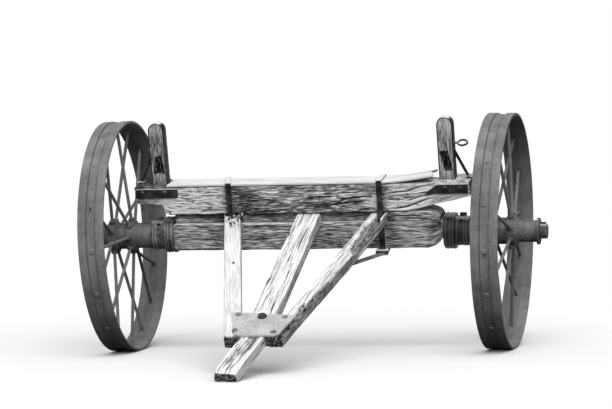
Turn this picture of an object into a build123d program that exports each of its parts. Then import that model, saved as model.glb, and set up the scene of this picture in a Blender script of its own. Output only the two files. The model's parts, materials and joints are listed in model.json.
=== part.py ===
"""Hind gear of a wooden farm wagon: two all-steel wheels on a timber axle and bolster.

Millimetres, +Z up, -Y to the front. The gear stands on its two wheels and on the tip of
its broken reach, so its timbers lean forward. The origin is on the ground, in the middle
of the footprint.
"""
from build123d import *
from math import atan2, cos, degrees, hypot, radians, sin, tan
import os

os.makedirs("parts", exist_ok=True)

# Stance
TILT = 12.6             # forward lean of the axle, bolster and stakes, degrees
REACH_SLOPE = 23.2      # fall of the reach and hounds below level, degrees
CAMBER = 1.3            # outward lean of each wheel's top, degrees

# Wheels: s runs along each hub, outward from the middle of the tyre
WHEEL_DIA = 864.0
TYRE_WIDTH = 98.0
TYRE_THICK = 9.0
GROOVE_WIDTH = 36.0
GROOVE_DEPTH = 5.0
GROOVE_SIDE_WIDTH = 5.0  # of each sloping side of the groove
SPOKES_PER_ROW = 8
SPOKE_DIA = 12.0
SPOKE_HOLE_PLAY = 0.2
SPOKE_ROOT = 6.0        # how far a spoke is cast into its boss
SPOKE_HEAD_DIA = 21.0
SPOKE_HEAD_HIGH = 4.0
SPOKE_HEAD_TAPER = 35.0  # degrees
LEFT_SPOKE_PHASE = 4.6  # first inner spoke, below level at the front, degrees
RIGHT_SPOKE_PHASE = 6.8
ROW_SPACING = 70.0      # between the two rows of spokes at the hub
ROW_BOSS_DIA = 116.0
ROW_BOSS_WIDTH = 28.0
BOSS_SIDE_WIDTH = 7.0
BARREL_SIDE_WIDTH = 14.0
HUB_WAIST_DIA = 98.0
HUB_INNER_DIA = 95.0
HUB_INNER_END = 120.0
HUB_OUTER_DIA = 80.0
HUB_OUTER_END = 138.0
HUB_CAP_DIA = 98.0
HUB_CAP_WIDTH = 9.0

# Skeins: iron arms that the hubs turn on
ARM_INNER_DIA = 62.0
ARM_OUTER_DIA = 46.0
HUB_PLAY = 0.3          # radial clearance of the hub on its arm
HUB_END_PLAY = 0.8      # clearance at each end of the hub
NUT_DIA = 54.0
NUT_LENGTH = 27.0
NUT_CHAMFER = 3.0
NUT_LUG_WIDTH = 12.0
NUT_LUG_HIGH = 7.0
COLLAR_DIA = 108.0
COLLAR_WIDTH = 50.0
RING_DIA = 132.0
RING_WIDTH = 36.0
OIL_LUG_DIA = 26.0
OIL_LUG_HIGH = 13.0
SEAT_ALLOWANCE = 4.0    # spare metal trimmed off where a skein meets the axle

# Timbers: v runs back across the gear and w up it, from the line of the hubs
BEAM_DEPTH = 132.0      # front to back, of axle and bolster
AXLE_BOTTOM = -44.0
AXLE_TOP = 60.0
AXLE_END_CHAMFER = 12.0
AXLE_CORNER_LONG = 34.0  # of the corner rotted off under the axle's right end
AXLE_CORNER_HIGH = 42.0
RISER_HIGH = 36.0
RISER_SETBACK = 22.0
RISER_CORNER_LONG = 36.0  # of the corner worn off the right-hand riser
RISER_CORNER_HIGH = 20.0
RISER_TO_HOUND = 5.0
BOLSTER_LENGTH = 1268.0
BOLSTER_TO_TYRE = 87.5  # clear of the spokes, to the middle of each tyre
BOLSTER_X = -12.5       # the bolster has crept towards the left wheel
BOLSTER_HIGH = 108.0
LEFT_RISE_HIGH = 43.0   # of the bolster's underside at its left end
LEFT_STEP_HIGH = 37.0
LEFT_STEP_LONG = 144.0  # from the left end to the step
LEFT_STEP_SLOPE_LONG = 38.0
RIGHT_RISE_HIGH = 54.0
RIGHT_RISE_LONG = 240.0
SLAB_LEAN = 8.0         # the split slab leans forward less than the gear, degrees
SLAB_PROUD = 2.3        # its top is this much above the bolster's, halfway across
SLAB_THICK = 8.0
SLAB_LIFT = 22.0        # its free right end curls up by this
CURL_FROM_CLIP = 6.0    # the slab curls from here to its end
SLAB_END_GAP = 12.0
SLAB_CURL = 0.16        # slope of the slab at its free end

# Stakes, with their bands, braces and eye
STAKE_TO_END = 89.5     # from a stake's middle to the end of the bolster
STAKE_WIDTH = 52.0
STAKE_DEPTH = 46.0
STAKE_HIGH = 228.0      # above the bolster
STAKE_SOCKET = 56.0
BAND_THICK = 4.0
BAND_WIDTH = 38.0
RECESS_WIDTH = 25.0
RECESS_HIGH = 55.0
RECESS_SLANT_WIDTH = 13.0  # its foot is this much further out than its top
RECESS_DEEP = 12.0
RECESS_MIDDLE = 74.0    # above the bolster
BRACE_DIA = 11.0
BRACE_TOP = 108.0       # above the bolster
BRACE_REACH = 48.0      # from the band out to the middle of the brace's foot
BRACE_FOOT_LONG = 26.0
BRACE_FOOT_WIDE = 26.0
BRACE_FOOT_THICK = 5.0
BRACE_FOOT_CORNER = 8.5
EYE_RING_DIA = 34.0     # to the middle of its wire
EYE_WIRE_DIA = 8.0
EYE_HIGH = 132.0        # above the bolster
EYE_SHANK = 14.0
EYE_TILT = 22.0

# Iron straps and plates on the beams
PLATE_LENGTH = 161.0
PLATE_HIGH = 32.0
PLATE_THICK = 6.0
PLATE_DROP = 7.0        # below the top of the bolster
PLATE_END_GAP = 8.0
PLATE_SLANT_LENGTH = 50.0  # of the right-hand plates' pointed inner end
PLATE_CORNER = 9.0
CLIP_X = 284.0
CLIP_WIDTH = 20.0
CLIP_THICK = 5.0
CLIP_BITE = 1.0         # how far the clips have bitten into the slab
CLIP_TAIL = 14.0
CLIP_PLAY = 0.5
LEFT_CLIP_SKEW_WIDTH = 32.0   # its back leg is this much further left
RIGHT_CLIP_SKEW_WIDTH = 7.0
CLIP_BAR_WIDTH = 46.0
CLIP_BAR_THICK = 10.0
CLIP_BAR_OVERHANG = 24.0

# Hounds and reach: lengths run down the slope from the axle's front face
BOARD_THICK = 40.0
BOARD_TOP_HEIGHT = 90.0  # of the boards' top at the front face of the axle
BOARD_TAIL_GAP = 6.0    # tails end this far inside the back face
REACH_X = 12.0
REACH_WIDTH = 90.0
BREAK_FROM_PIN = 24.0
STUB_YAW = 9.4          # the broken-off front of the reach has swung to the left
STUB_SHIFT = 13.0       # its middle passes this far to the right of the pin
STUB_WIDTH = 84.0
STUB_GAP = 3.0
TIP_WEAR = 24.0
HOUND_X = 277.0
HOUND_WIDTH = 62.0
HOUND_LENGTH = 956.0
PIN_FROM_PLATE_BACK = 24.0
PIN_DIA = 18.0
PIN_PLAY = 0.3
PIN_HEAD_DIA = 34.0
PIN_HEAD_HIGH = 9.0
PIN_HEAD_TAPER = 20.0    # degrees
PIN_TAIL = 24.0

# Plates over and under the front of the hounds
HOUND_TIP_LONG = 4.0    # of each hound, in front of the plates
HOUND_PLATE_LONG = 159.0
HOUND_PLATE_BACK = 234.0
HOUND_PLATE_FRONT = 150.0
HOUND_PLATE_THICK = 7.0
HOUND_PLATE_CORNER = 26.0
HOUND_PLATE_SHIFT = 6.0  # of its front edge to the right
HOUND_PLATE_SKEW_LONG = 13.0  # its back left corner is this much further back
LOWER_PLATE_TRIM = 22.0  # the lower plate's front edge is this much further back

# Irons from under the clips to the hounds
IRON_AT = 335.0         # along the hound
IRON_WIDTH = 24.0
IRON_THICK = 7.0
IRON_PAD_LONG = 60.0
IRON_PAD_CORNER = 8.0
IRON_TOP_PAD_INSET = 1.0  # from the edges of the clip bar
IRON_TOP_PAD_CORNER = 4.0

# Worked out from the sizes above
TRACK = BOLSTER_LENGTH + 2 * BOLSTER_TO_TYRE
WHEEL_R = WHEEL_DIA / 2
HUB_Z = WHEEL_R * cos(radians(CAMBER)) + TYRE_WIDTH / 2 * sin(radians(CAMBER))
FACE_V = BEAM_DEPTH / 2
BOLSTER_BASE = AXLE_TOP + RISER_HIGH
BOLSTER_TOP = BOLSTER_BASE + BOLSTER_HIGH
STAKE_SPACING = BOLSTER_LENGTH - 2 * STAKE_TO_END
SKEIN_BACK = HUB_INNER_END + HUB_END_PLAY + COLLAR_WIDTH + RING_WIDTH
AXLE_HALF = TRACK / 2 - SKEIN_BACK * cos(radians(CAMBER))
TILT_COS = cos(radians(TILT))
TILT_SIN = sin(radians(TILT))
SLOPE_COS = cos(radians(REACH_SLOPE))
SLOPE_SIN = sin(radians(REACH_SLOPE))
BOARDS_Z = HUB_Z - FACE_V * TILT_SIN + BOARD_TOP_HEIGHT * TILT_COS
BOARDS_Y = -FACE_V * TILT_COS - BOARD_TOP_HEIGHT * TILT_SIN
REACH_TIP = (BOARDS_Z - BOARD_THICK * SLOPE_COS) / SLOPE_SIN + TIP_WEAR
AXLE_Y = -(WHEEL_R + BOARDS_Y - REACH_TIP * SLOPE_COS) / 2
TAIL_START = -FACE_V + (BOLSTER_BASE - BOARD_TOP_HEIGHT) / tan(radians(REACH_SLOPE - TILT))
TAIL_END = FACE_V - BOARD_TAIL_GAP
HOUND_FRONT_OFFSET = (REACH_WIDTH + HOUND_WIDTH) / 2
HOUND_PLATE_AT = HOUND_LENGTH - HOUND_TIP_LONG - HOUND_PLATE_LONG
PIN_AT = HOUND_PLATE_AT + PIN_FROM_PLATE_BACK
REACH_BREAK = PIN_AT + BREAK_FROM_PIN
SIDES = (("left", -1), ("right", 1))
SPOKE_PHASES = {"left": LEFT_SPOKE_PHASE, "right": RIGHT_SPOKE_PHASE}
CLIP_SKEWS = {
    "left": LEFT_CLIP_SKEW_WIDTH / BEAM_DEPTH,
    "right": RIGHT_CLIP_SKEW_WIDTH / BEAM_DEPTH,
}

# The leaning timbers share these planes, SLAB is the top of the slab split off the
# bolster, and BOARDS is the top of the hounds and reach
GEAR = Plane(origin=(0, AXLE_Y, HUB_Z), x_dir=(1, 0, 0), z_dir=(0, -TILT_SIN, TILT_COS))
GEAR_FRONT = Plane(origin=GEAR.origin, x_dir=(1, 0, 0), z_dir=(0, -TILT_COS, -TILT_SIN))
GEAR_SIDE = Plane(origin=GEAR.origin, x_dir=GEAR.y_dir, z_dir=(1, 0, 0))
SLAB = Plane(
    origin=GEAR.from_local_coords(Vector(0, 0, BOLSTER_TOP + SLAB_PROUD)),
    x_dir=(1, 0, 0),
    z_dir=(0, -sin(radians(SLAB_LEAN)), cos(radians(SLAB_LEAN))),
)
SLAB_FRONT = Plane(origin=SLAB.origin, x_dir=(1, 0, 0), z_dir=-SLAB.y_dir)
BOARDS = Plane(
    origin=(0, AXLE_Y + BOARDS_Y, BOARDS_Z),
    x_dir=(1, 0, 0),
    z_dir=(0, -SLOPE_SIN, SLOPE_COS),
)


def save(piece, name):
    """Label a finished piece and write its STEP file."""
    piece.part.label = name
    export_step(piece.part, f"parts/{name}.step")


def gear_point(x, v, w):
    """Point of the leaning gear: v back across it and w up it."""
    return GEAR.from_local_coords(Vector(x, v, w))


def between(start, end):
    """Plane at start that looks towards end, and the distance between them."""
    run = end - start
    return Plane(origin=start, z_dir=run), run.length


def turned(plane, x, y, yaw):
    """The plane moved to its own point (x, y) and turned about its normal there."""
    origin = plane.from_local_coords(Vector(x, y, 0))
    x_dir = plane.x_dir * cos(radians(yaw)) + plane.y_dir * sin(radians(yaw))
    return Plane(origin=origin, x_dir=x_dir, z_dir=plane.z_dir)


def hub_plane(side):
    """Plane across a wheel: z outward along its hub, x to the front."""
    return Plane(
        origin=(side * TRACK / 2, AXLE_Y, HUB_Z),
        x_dir=(0, -1, 0),
        z_dir=(side * cos(radians(CAMBER)), 0, -sin(radians(CAMBER))),
    )


def profile_plane(wheel):
    """Plane through the hub's line, for outlines drawn as radius and s."""
    return Plane(origin=wheel.origin, x_dir=wheel.x_dir, z_dir=-wheel.y_dir)


def skewed(x, skew, width, half):
    """Corners of a strip that slants leftwards on its way back over the gear."""
    back_x = x - skew * BEAM_DEPTH
    return (
        (x - width / 2, -half),
        (x + width / 2, -half),
        (x + width / 2, -FACE_V),
        (back_x + width / 2, FACE_V),
        (back_x + width / 2, half),
        (back_x - width / 2, half),
        (back_x - width / 2, FACE_V),
        (x - width / 2, -FACE_V),
    )


def arm_radius(s):
    """Radius of the tapered arm at s."""
    share = (s + HUB_INNER_END) / (HUB_INNER_END + HUB_OUTER_END)
    return (ARM_INNER_DIA + share * (ARM_OUTER_DIA - ARM_INNER_DIA)) / 2


def hound_spread(side):
    """How far a hound's middle moves out for each unit back along the slope."""
    front_x = REACH_X + side * HOUND_FRONT_OFFSET
    return (side * HOUND_X - front_x) / HOUND_LENGTH


# Axle beam
with BuildPart(GEAR) as axle_beam:
    with Locations((0, 0, AXLE_BOTTOM)):
        Box(2 * AXLE_HALF, BEAM_DEPTH, AXLE_TOP - AXLE_BOTTOM,
            align=(Align.CENTER, Align.CENTER, Align.MIN))
    with BuildSketch(GEAR_FRONT):
        with BuildLine():
            Polyline((AXLE_HALF, AXLE_BOTTOM), (AXLE_HALF, AXLE_BOTTOM + AXLE_CORNER_HIGH),
                     (AXLE_HALF - AXLE_CORNER_LONG, AXLE_BOTTOM), close=True)
        make_face()
    extrude(amount=FACE_V, both=True, mode=Mode.SUBTRACT)
    chamfer(axle_beam.faces().filter_by(Axis.X).edges(), AXLE_END_CHAMFER)
save(axle_beam, "axle_beam")

# Bolster: its underside rises over the hubs, and a bed is cut for the split slab
bolster_left = BOLSTER_X - BOLSTER_LENGTH / 2
bolster_right = BOLSTER_X + BOLSTER_LENGTH / 2
left_step = bolster_left + LEFT_STEP_LONG
stake_clear = STAKE_SPACING / 2 - STAKE_WIDTH / 2 - BAND_THICK
slab_left = BOLSTER_X - stake_clear
slab_right = BOLSTER_X + stake_clear
with BuildPart() as bolster:
    with BuildSketch(GEAR_FRONT):
        with BuildLine():
            Polyline(
                (bolster_left, BOLSTER_TOP),
                (bolster_right, BOLSTER_TOP),
                (bolster_right, BOLSTER_BASE + RIGHT_RISE_HIGH),
                (bolster_right - RIGHT_RISE_LONG, BOLSTER_BASE),
                (left_step + LEFT_STEP_SLOPE_LONG, BOLSTER_BASE),
                (left_step, BOLSTER_BASE + LEFT_STEP_HIGH),
                (bolster_left, BOLSTER_BASE + LEFT_RISE_HIGH),
                close=True,
            )
        make_face()
    extrude(amount=FACE_V, both=True)
    # Bed of the slab
    with BuildSketch(SLAB.offset(-SLAB_THICK)):
        with Locations((BOLSTER_X, 0)):
            Rectangle(2 * stake_clear, 2 * BEAM_DEPTH)
    extrude(amount=SLAB_THICK + SLAB_LIFT, mode=Mode.SUBTRACT)
    # Stake mortises
    with BuildSketch(GEAR.offset(BOLSTER_TOP)):
        with Locations((BOLSTER_X, 0)):
            with GridLocations(STAKE_SPACING, 0, 2, 1):
                Rectangle(STAKE_WIDTH, STAKE_DEPTH)
    extrude(amount=-STAKE_SOCKET, mode=Mode.SUBTRACT)
save(bolster, "bolster")

# Slab split off the top of the bolster: the clips hold it, and its right end curls up
with BuildPart() as bolster_slab:
    with BuildSketch(SLAB_FRONT):
        curl_start = CLIP_X + CLIP_WIDTH / 2 + CURL_FROM_CLIP
        curl_end = slab_right - SLAB_END_GAP
        with BuildLine():
            Polyline((curl_start, 0), (slab_left, 0), (slab_left, -SLAB_THICK),
                     (curl_start, -SLAB_THICK))
            Spline((curl_start, -SLAB_THICK), (curl_end, SLAB_LIFT - SLAB_THICK),
                   tangents=((1, 0), (1, SLAB_CURL)))
            Line((curl_end, SLAB_LIFT - SLAB_THICK), (curl_end, SLAB_LIFT))
            Spline((curl_end, SLAB_LIFT), (curl_start, 0),
                   tangents=((-1, -SLAB_CURL), (-1, 0)))
        make_face()
    extrude(amount=BEAM_DEPTH, both=True)
    with BuildSketch(GEAR):
        with Locations((BOLSTER_X, 0)):
            Rectangle(BOLSTER_LENGTH, BEAM_DEPTH)
    extrude(amount=BOLSTER_TOP + BOLSTER_HIGH, mode=Mode.INTERSECT)
    with BuildSketch(SLAB):
        for name, side in SIDES:
            with BuildLine():
                Polyline(*skewed(side * CLIP_X, CLIP_SKEWS[name],
                                 CLIP_WIDTH + 2 * CLIP_PLAY, FACE_V + CLIP_THICK), close=True)
            make_face()
    extrude(amount=-CLIP_BITE, mode=Mode.SUBTRACT)
save(bolster_slab, "bolster_slab")

# Riser blocks beside the hounds' tails: set back, but for the right one's front
tail_end_spread = (FACE_V + TAIL_END) * abs(hound_spread(1))
riser_inner = HOUND_X - HOUND_WIDTH / 2 - RISER_TO_HOUND
riser_outer = HOUND_X + HOUND_WIDTH / 2 + tail_end_spread + RISER_TO_HOUND
riser_end = AXLE_HALF - AXLE_END_CHAMFER
with BuildPart(GEAR) as riser_blocks:
    for start, end in (
        (-riser_end, -riser_outer),
        (-riser_inner, REACH_X - REACH_WIDTH / 2),
        (REACH_X + REACH_WIDTH / 2, riser_inner),
        (riser_outer, riser_end),
    ):
        with Locations(((start + end) / 2, 0, AXLE_TOP)):
            Box(end - start, BEAM_DEPTH - 2 * RISER_SETBACK, RISER_HIGH,
                align=(Align.CENTER, Align.CENTER, Align.MIN))
    with Locations((riser_outer, -FACE_V, AXLE_TOP)):
        Box(riser_end - riser_outer, FACE_V, RISER_HIGH, align=Align.MIN)
    with BuildSketch(GEAR_FRONT):
        with BuildLine():
            Polyline((riser_end, BOLSTER_BASE), (riser_end, BOLSTER_BASE - RISER_CORNER_HIGH),
                     (riser_end - RISER_CORNER_LONG, BOLSTER_BASE), close=True)
        make_face()
    extrude(amount=FACE_V, both=True, mode=Mode.SUBTRACT)
save(riser_blocks, "riser_blocks")

# Stakes, their edge bands and their braces
stake_arc = STAKE_WIDTH / 2
shoulder = BOLSTER_TOP + STAKE_HIGH - stake_arc
for name, side in SIDES:
    stake_x = BOLSTER_X + side * STAKE_SPACING / 2
    band_x = stake_x + side * (stake_arc + BAND_THICK)
    with BuildPart() as stake:
        with BuildSketch(GEAR_FRONT):
            with Locations((stake_x, shoulder)):
                Circle(stake_arc)
                Rectangle(STAKE_WIDTH, STAKE_HIGH + STAKE_SOCKET - stake_arc,
                          align=(Align.CENTER, Align.MAX))
        extrude(amount=STAKE_DEPTH / 2, both=True)
        # Slanting recess in the front face
        with BuildSketch(GEAR_FRONT.offset(STAKE_DEPTH / 2)):
            with BuildLine():
                half = RECESS_WIDTH / 2
                slant = side * RECESS_SLANT_WIDTH / 2
                low = BOLSTER_TOP + RECESS_MIDDLE - RECESS_HIGH / 2
                high = low + RECESS_HIGH
                Polyline(
                    (stake_x + slant - half, low),
                    (stake_x + slant + half, low),
                    (stake_x - slant + half, high),
                    (stake_x - slant - half, high),
                    close=True,
                )
            make_face()
        extrude(amount=-RECESS_DEEP, mode=Mode.SUBTRACT)
    save(stake, f"stake_{name}")

    with BuildPart() as stake_band:
        with BuildSketch(GEAR_FRONT):
            for grow, mode in ((BAND_THICK, Mode.ADD), (0, Mode.SUBTRACT)):
                with Locations((stake_x, shoulder)):
                    Circle(stake_arc + grow, mode=mode)
                    Rectangle(STAKE_WIDTH + 2 * grow, STAKE_HIGH - stake_arc,
                              align=(Align.CENTER, Align.MAX), mode=mode)
        extrude(amount=BAND_WIDTH / 2, both=True)
    save(stake_band, f"stake_band_{name}")

    # Round brace from the outer side of the stake to the end of the bolster
    brace_head = gear_point(band_x - side * BAND_THICK, 0, BOLSTER_TOP + BRACE_TOP)
    brace_foot = gear_point(band_x + side * BRACE_REACH, 0, BOLSTER_TOP)
    with BuildPart() as stake_brace:
        brace_plane, brace_length = between(brace_head, brace_foot)
        with BuildSketch(brace_plane):
            Circle(BRACE_DIA / 2)
        extrude(amount=brace_length)
        with BuildSketch(GEAR.offset(BOLSTER_TOP)):
            with Locations((band_x + side * BRACE_REACH, 0)):
                RectangleRounded(BRACE_FOOT_LONG, BRACE_FOOT_WIDE, BRACE_FOOT_CORNER)
        extrude(amount=BRACE_FOOT_THICK)
        add(bolster.part, mode=Mode.SUBTRACT)
        add(stake.part, mode=Mode.SUBTRACT)
        add(stake_band.part, mode=Mode.SUBTRACT)
    save(stake_brace, f"stake_brace_{name}")

# Eye on the outer side of the right stake
with BuildPart() as stake_eye:
    eye_x = band_x + EYE_SHANK + EYE_RING_DIA / 2
    eye_w = BOLSTER_TOP + EYE_HIGH
    shank_plane, shank_length = between(
        gear_point(band_x, 0, eye_w),
        gear_point(band_x + EYE_SHANK, 0, eye_w),
    )
    with BuildSketch(shank_plane):
        Circle(EYE_WIRE_DIA / 2)
    extrude(amount=shank_length)
    ring_normal = GEAR.z_dir * cos(radians(EYE_TILT)) - GEAR.y_dir * sin(radians(EYE_TILT))
    ring = Plane(gear_point(eye_x, 0, eye_w), x_dir=(1, 0, 0), z_dir=ring_normal)
    with BuildSketch(profile_plane(ring)):
        with Locations((EYE_RING_DIA / 2, 0)):
            Circle(EYE_WIRE_DIA / 2)
    revolve(axis=Axis(ring.origin, ring.z_dir))
save(stake_eye, "stake_eye_right")

# Iron plates on both faces of each end of the bolster: the right pair's inner ends slant
for name, side in SIDES:
    plate_end = BOLSTER_X + side * (BOLSTER_LENGTH / 2 - PLATE_END_GAP)
    plate_inner = plate_end - side * PLATE_LENGTH
    plate_top = BOLSTER_TOP - PLATE_DROP
    for face_name, face in (("front", 1), ("back", -1)):
        with BuildPart() as end_plate:
            with BuildSketch(GEAR_FRONT.offset(face * FACE_V)) as end_plate_sketch:
                with BuildLine():
                    Polyline(
                        (plate_end, plate_top),
                        (plate_end, plate_top - PLATE_HIGH),
                        (plate_inner, plate_top - PLATE_HIGH),
                        (plate_inner + max(side, 0) * PLATE_SLANT_LENGTH, plate_top),
                        close=True,
                    )
                make_face()
                if name == "left":
                    fillet(end_plate_sketch.vertices().sort_by(Axis.X)[-2:], PLATE_CORNER)
            extrude(amount=face * PLATE_THICK)
        save(end_plate, f"end_plate_{face_name}_{name}")

# Clips: straps over the bolster, down both faces, through a bar under the axle
clip_foot = AXLE_BOTTOM - CLIP_BAR_THICK - CLIP_TAIL
clip_seat = SLAB.offset(-CLIP_BITE)
clip_bars = {}
for name, side in SIDES:
    skew = CLIP_SKEWS[name]
    legs = (
        (side * CLIP_X, -FACE_V - CLIP_THICK / 2),
        (side * CLIP_X - skew * BEAM_DEPTH, FACE_V + CLIP_THICK / 2),
    )
    with BuildPart() as clip:
        with BuildSketch(GEAR.offset(clip_foot)):
            with Locations(*legs):
                Rectangle(CLIP_WIDTH, CLIP_THICK)
        extrude(amount=BOLSTER_TOP + BOLSTER_HIGH - clip_foot)
        split(bisect_by=clip_seat, keep=Keep.BOTTOM)
        with BuildSketch(clip_seat):
            with BuildLine():
                Polyline(*skewed(side * CLIP_X, skew, CLIP_WIDTH, FACE_V + CLIP_THICK),
                         close=True)
            make_face()
        extrude(amount=CLIP_THICK)
    save(clip, f"clip_{name}")

    with BuildPart() as clip_bar:
        with BuildSketch(GEAR.offset(AXLE_BOTTOM)):
            with BuildLine():
                Polyline(*skewed(side * CLIP_X, skew, CLIP_BAR_WIDTH,
                                 FACE_V + CLIP_THICK + CLIP_BAR_OVERHANG), close=True)
            make_face()
            with Locations(*legs):
                Rectangle(CLIP_WIDTH + 2 * CLIP_PLAY, CLIP_THICK + 2 * CLIP_PLAY,
                          mode=Mode.SUBTRACT)
        extrude(amount=-CLIP_BAR_THICK)
    save(clip_bar, f"clip_bar_{name}")
    clip_bars[name] = clip_bar.part

# Reach: a board through the axle, broken off just in front of its pin
board_back = (TAIL_START + FACE_V) / cos(radians(REACH_SLOPE - TILT))
with BuildPart() as reach:
    with BuildSketch(BOARDS):
        with Locations((REACH_X, -REACH_BREAK)):
            Rectangle(REACH_WIDTH, REACH_BREAK + board_back, align=(Align.CENTER, Align.MIN))
        with Locations((REACH_X, -PIN_AT)):
            Circle(PIN_DIA / 2 + PIN_PLAY, mode=Mode.SUBTRACT)
    extrude(amount=-BOARD_THICK)
    with BuildSketch(GEAR.offset(AXLE_TOP)):
        with Locations((REACH_X, TAIL_START)):
            Rectangle(REACH_WIDTH, TAIL_END - TAIL_START, align=(Align.CENTER, Align.MIN))
    extrude(amount=RISER_HIGH)
    add(axle_beam.part, mode=Mode.SUBTRACT)
    add(bolster.part, mode=Mode.SUBTRACT)
save(reach, "reach")

# Its front piece has swung to the left, and its worn tip rests on the ground
stub_plane = turned(BOARDS, REACH_X + STUB_SHIFT, -PIN_AT, -STUB_YAW)
stub_corner = STUB_WIDTH / 2 * sin(radians(STUB_YAW))
stub_front = (REACH_TIP - PIN_AT - stub_corner) / cos(radians(STUB_YAW))
stub_back = PIN_AT - REACH_BREAK - STUB_GAP - stub_corner
with BuildPart() as reach_stub:
    with BuildSketch(stub_plane):
        with Locations((0, -stub_front)):
            Rectangle(STUB_WIDTH, stub_front + stub_back, align=(Align.CENTER, Align.MIN))
    extrude(amount=-BOARD_THICK)
    split(bisect_by=Plane.XY, keep=Keep.TOP)
save(reach_stub, "reach_stub")

# Hounds: boards that spread back from the reach to the axle
hounds = {}
for name, side in SIDES:
    spread = hound_spread(side)
    half = HOUND_WIDTH / 2 * hypot(1, spread)
    with BuildPart() as hound:
        front_x = REACH_X + side * HOUND_FRONT_OFFSET
        back_x = side * HOUND_X + spread * board_back
        with BuildSketch(BOARDS):
            with BuildLine():
                Polyline(
                    (front_x - half, -HOUND_LENGTH),
                    (front_x + half, -HOUND_LENGTH),
                    (back_x + half, board_back),
                    (back_x - half, board_back),
                    close=True,
                )
            make_face()
        extrude(amount=-BOARD_THICK)
        tail_x = side * HOUND_X + spread * (TAIL_END + FACE_V)
        with BuildSketch(GEAR.offset(AXLE_TOP)):
            with BuildLine():
                Polyline(
                    (back_x - half, TAIL_START),
                    (back_x + half, TAIL_START),
                    (tail_x + half, TAIL_END),
                    (tail_x - half, TAIL_END),
                    close=True,
                )
            make_face()
        extrude(amount=RISER_HIGH)
        # The front leg of the clip passes through the hound
        with BuildSketch(GEAR.offset(AXLE_BOTTOM)):
            with Locations((side * CLIP_X, -FACE_V)):
                Rectangle(CLIP_WIDTH + 2 * CLIP_PLAY, CLIP_THICK + CLIP_PLAY,
                          align=(Align.CENTER, Align.MAX))
        extrude(amount=BOLSTER_TOP - AXLE_BOTTOM, mode=Mode.SUBTRACT)
        for neighbour in (axle_beam, bolster, reach, reach_stub):
            add(neighbour.part, mode=Mode.SUBTRACT)
    save(hound, f"hound_{name}")
    hounds[name] = hound.part

# Plates that clamp the hounds and the reach, and the pin through them
plate_back = -HOUND_PLATE_AT
for name, plane, grow, trim in (
    ("hound_plate_top", BOARDS, HOUND_PLATE_THICK, 0),
    ("hound_plate_bottom", BOARDS.offset(-BOARD_THICK), -HOUND_PLATE_THICK, LOWER_PLATE_TRIM),
):
    with BuildPart() as hound_plate:
        with BuildSketch(plane):
            plate_front = plate_back - HOUND_PLATE_LONG + trim
            front_middle = REACH_X + HOUND_PLATE_SHIFT
            with BuildLine():
                Polyline(
                    (REACH_X + HOUND_PLATE_BACK / 2, plate_back - HOUND_PLATE_SKEW_LONG),
                    (REACH_X - HOUND_PLATE_BACK / 2, plate_back + HOUND_PLATE_SKEW_LONG),
                    (front_middle - HOUND_PLATE_FRONT / 2, plate_front),
                    (front_middle + HOUND_PLATE_FRONT / 2, plate_front),
                    close=True,
                )
            make_face()
        extrude(amount=grow)
        corners = hound_plate.edges().filter_by(Axis(plane.origin, plane.z_dir))
        fillet(corners.sort_by(Axis.Y)[:2], HOUND_PLATE_CORNER)
        with BuildSketch(turned(BOARDS, REACH_X, -PIN_AT, 0)):
            Circle(PIN_DIA / 2 + PIN_PLAY)
        extrude(amount=BOARD_THICK + 2 * HOUND_PLATE_THICK, both=True, mode=Mode.SUBTRACT)
    save(hound_plate, name)

pin_plane = turned(BOARDS, REACH_X, -PIN_AT, 0)
with BuildPart() as reach_pin:
    with BuildSketch(pin_plane.offset(HOUND_PLATE_THICK)):
        Circle(PIN_DIA / 2)
    extrude(amount=-(BOARD_THICK + 2 * HOUND_PLATE_THICK + PIN_TAIL))
    with BuildSketch(pin_plane.offset(HOUND_PLATE_THICK)):
        Circle(PIN_HEAD_DIA / 2)
    extrude(amount=PIN_HEAD_HIGH, taper=PIN_HEAD_TAPER)
save(reach_pin, "reach_pin")

# Irons from under each clip bar down to the underside of the hound
for name, side in SIDES:
    spread = hound_spread(side)
    bar_under = AXLE_BOTTOM - CLIP_BAR_THICK
    pad_v = -(FACE_V + CLIP_THICK + CLIP_BAR_OVERHANG - IRON_WIDTH / 2)
    iron_x = side * HOUND_X - spread * IRON_AT
    iron_start = gear_point(side * CLIP_X, pad_v, bar_under - IRON_THICK / 2)
    iron_end = BOARDS.from_local_coords(
        Vector(iron_x, -IRON_AT, -BOARD_THICK - IRON_THICK / 2)
    )
    with BuildPart() as hound_iron:
        iron_plane, iron_length = between(iron_start, iron_end)
        iron_plane = Plane(origin=iron_start, x_dir=(1, 0, 0), z_dir=iron_plane.z_dir)
        with BuildSketch(iron_plane):
            Rectangle(IRON_WIDTH, IRON_THICK)
        extrude(amount=iron_length)
        with BuildSketch(GEAR.offset(bar_under)):
            with Locations((side * CLIP_X, pad_v)):
                RectangleRounded(
                    CLIP_BAR_WIDTH - 2 * IRON_TOP_PAD_INSET,
                    IRON_WIDTH - 2 * IRON_TOP_PAD_INSET,
                    IRON_TOP_PAD_CORNER,
                )
        extrude(amount=-IRON_THICK)
        with BuildSketch(turned(BOARDS.offset(-BOARD_THICK), iron_x, -IRON_AT,
                                -degrees(atan2(spread, 1)))):
            RectangleRounded(IRON_WIDTH, IRON_PAD_LONG, IRON_PAD_CORNER)
        extrude(amount=-IRON_THICK)
        add(clip_bars[name], mode=Mode.SUBTRACT)
        add(hounds[name], mode=Mode.SUBTRACT)
    save(hound_iron, f"hound_iron_{name}")

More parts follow.
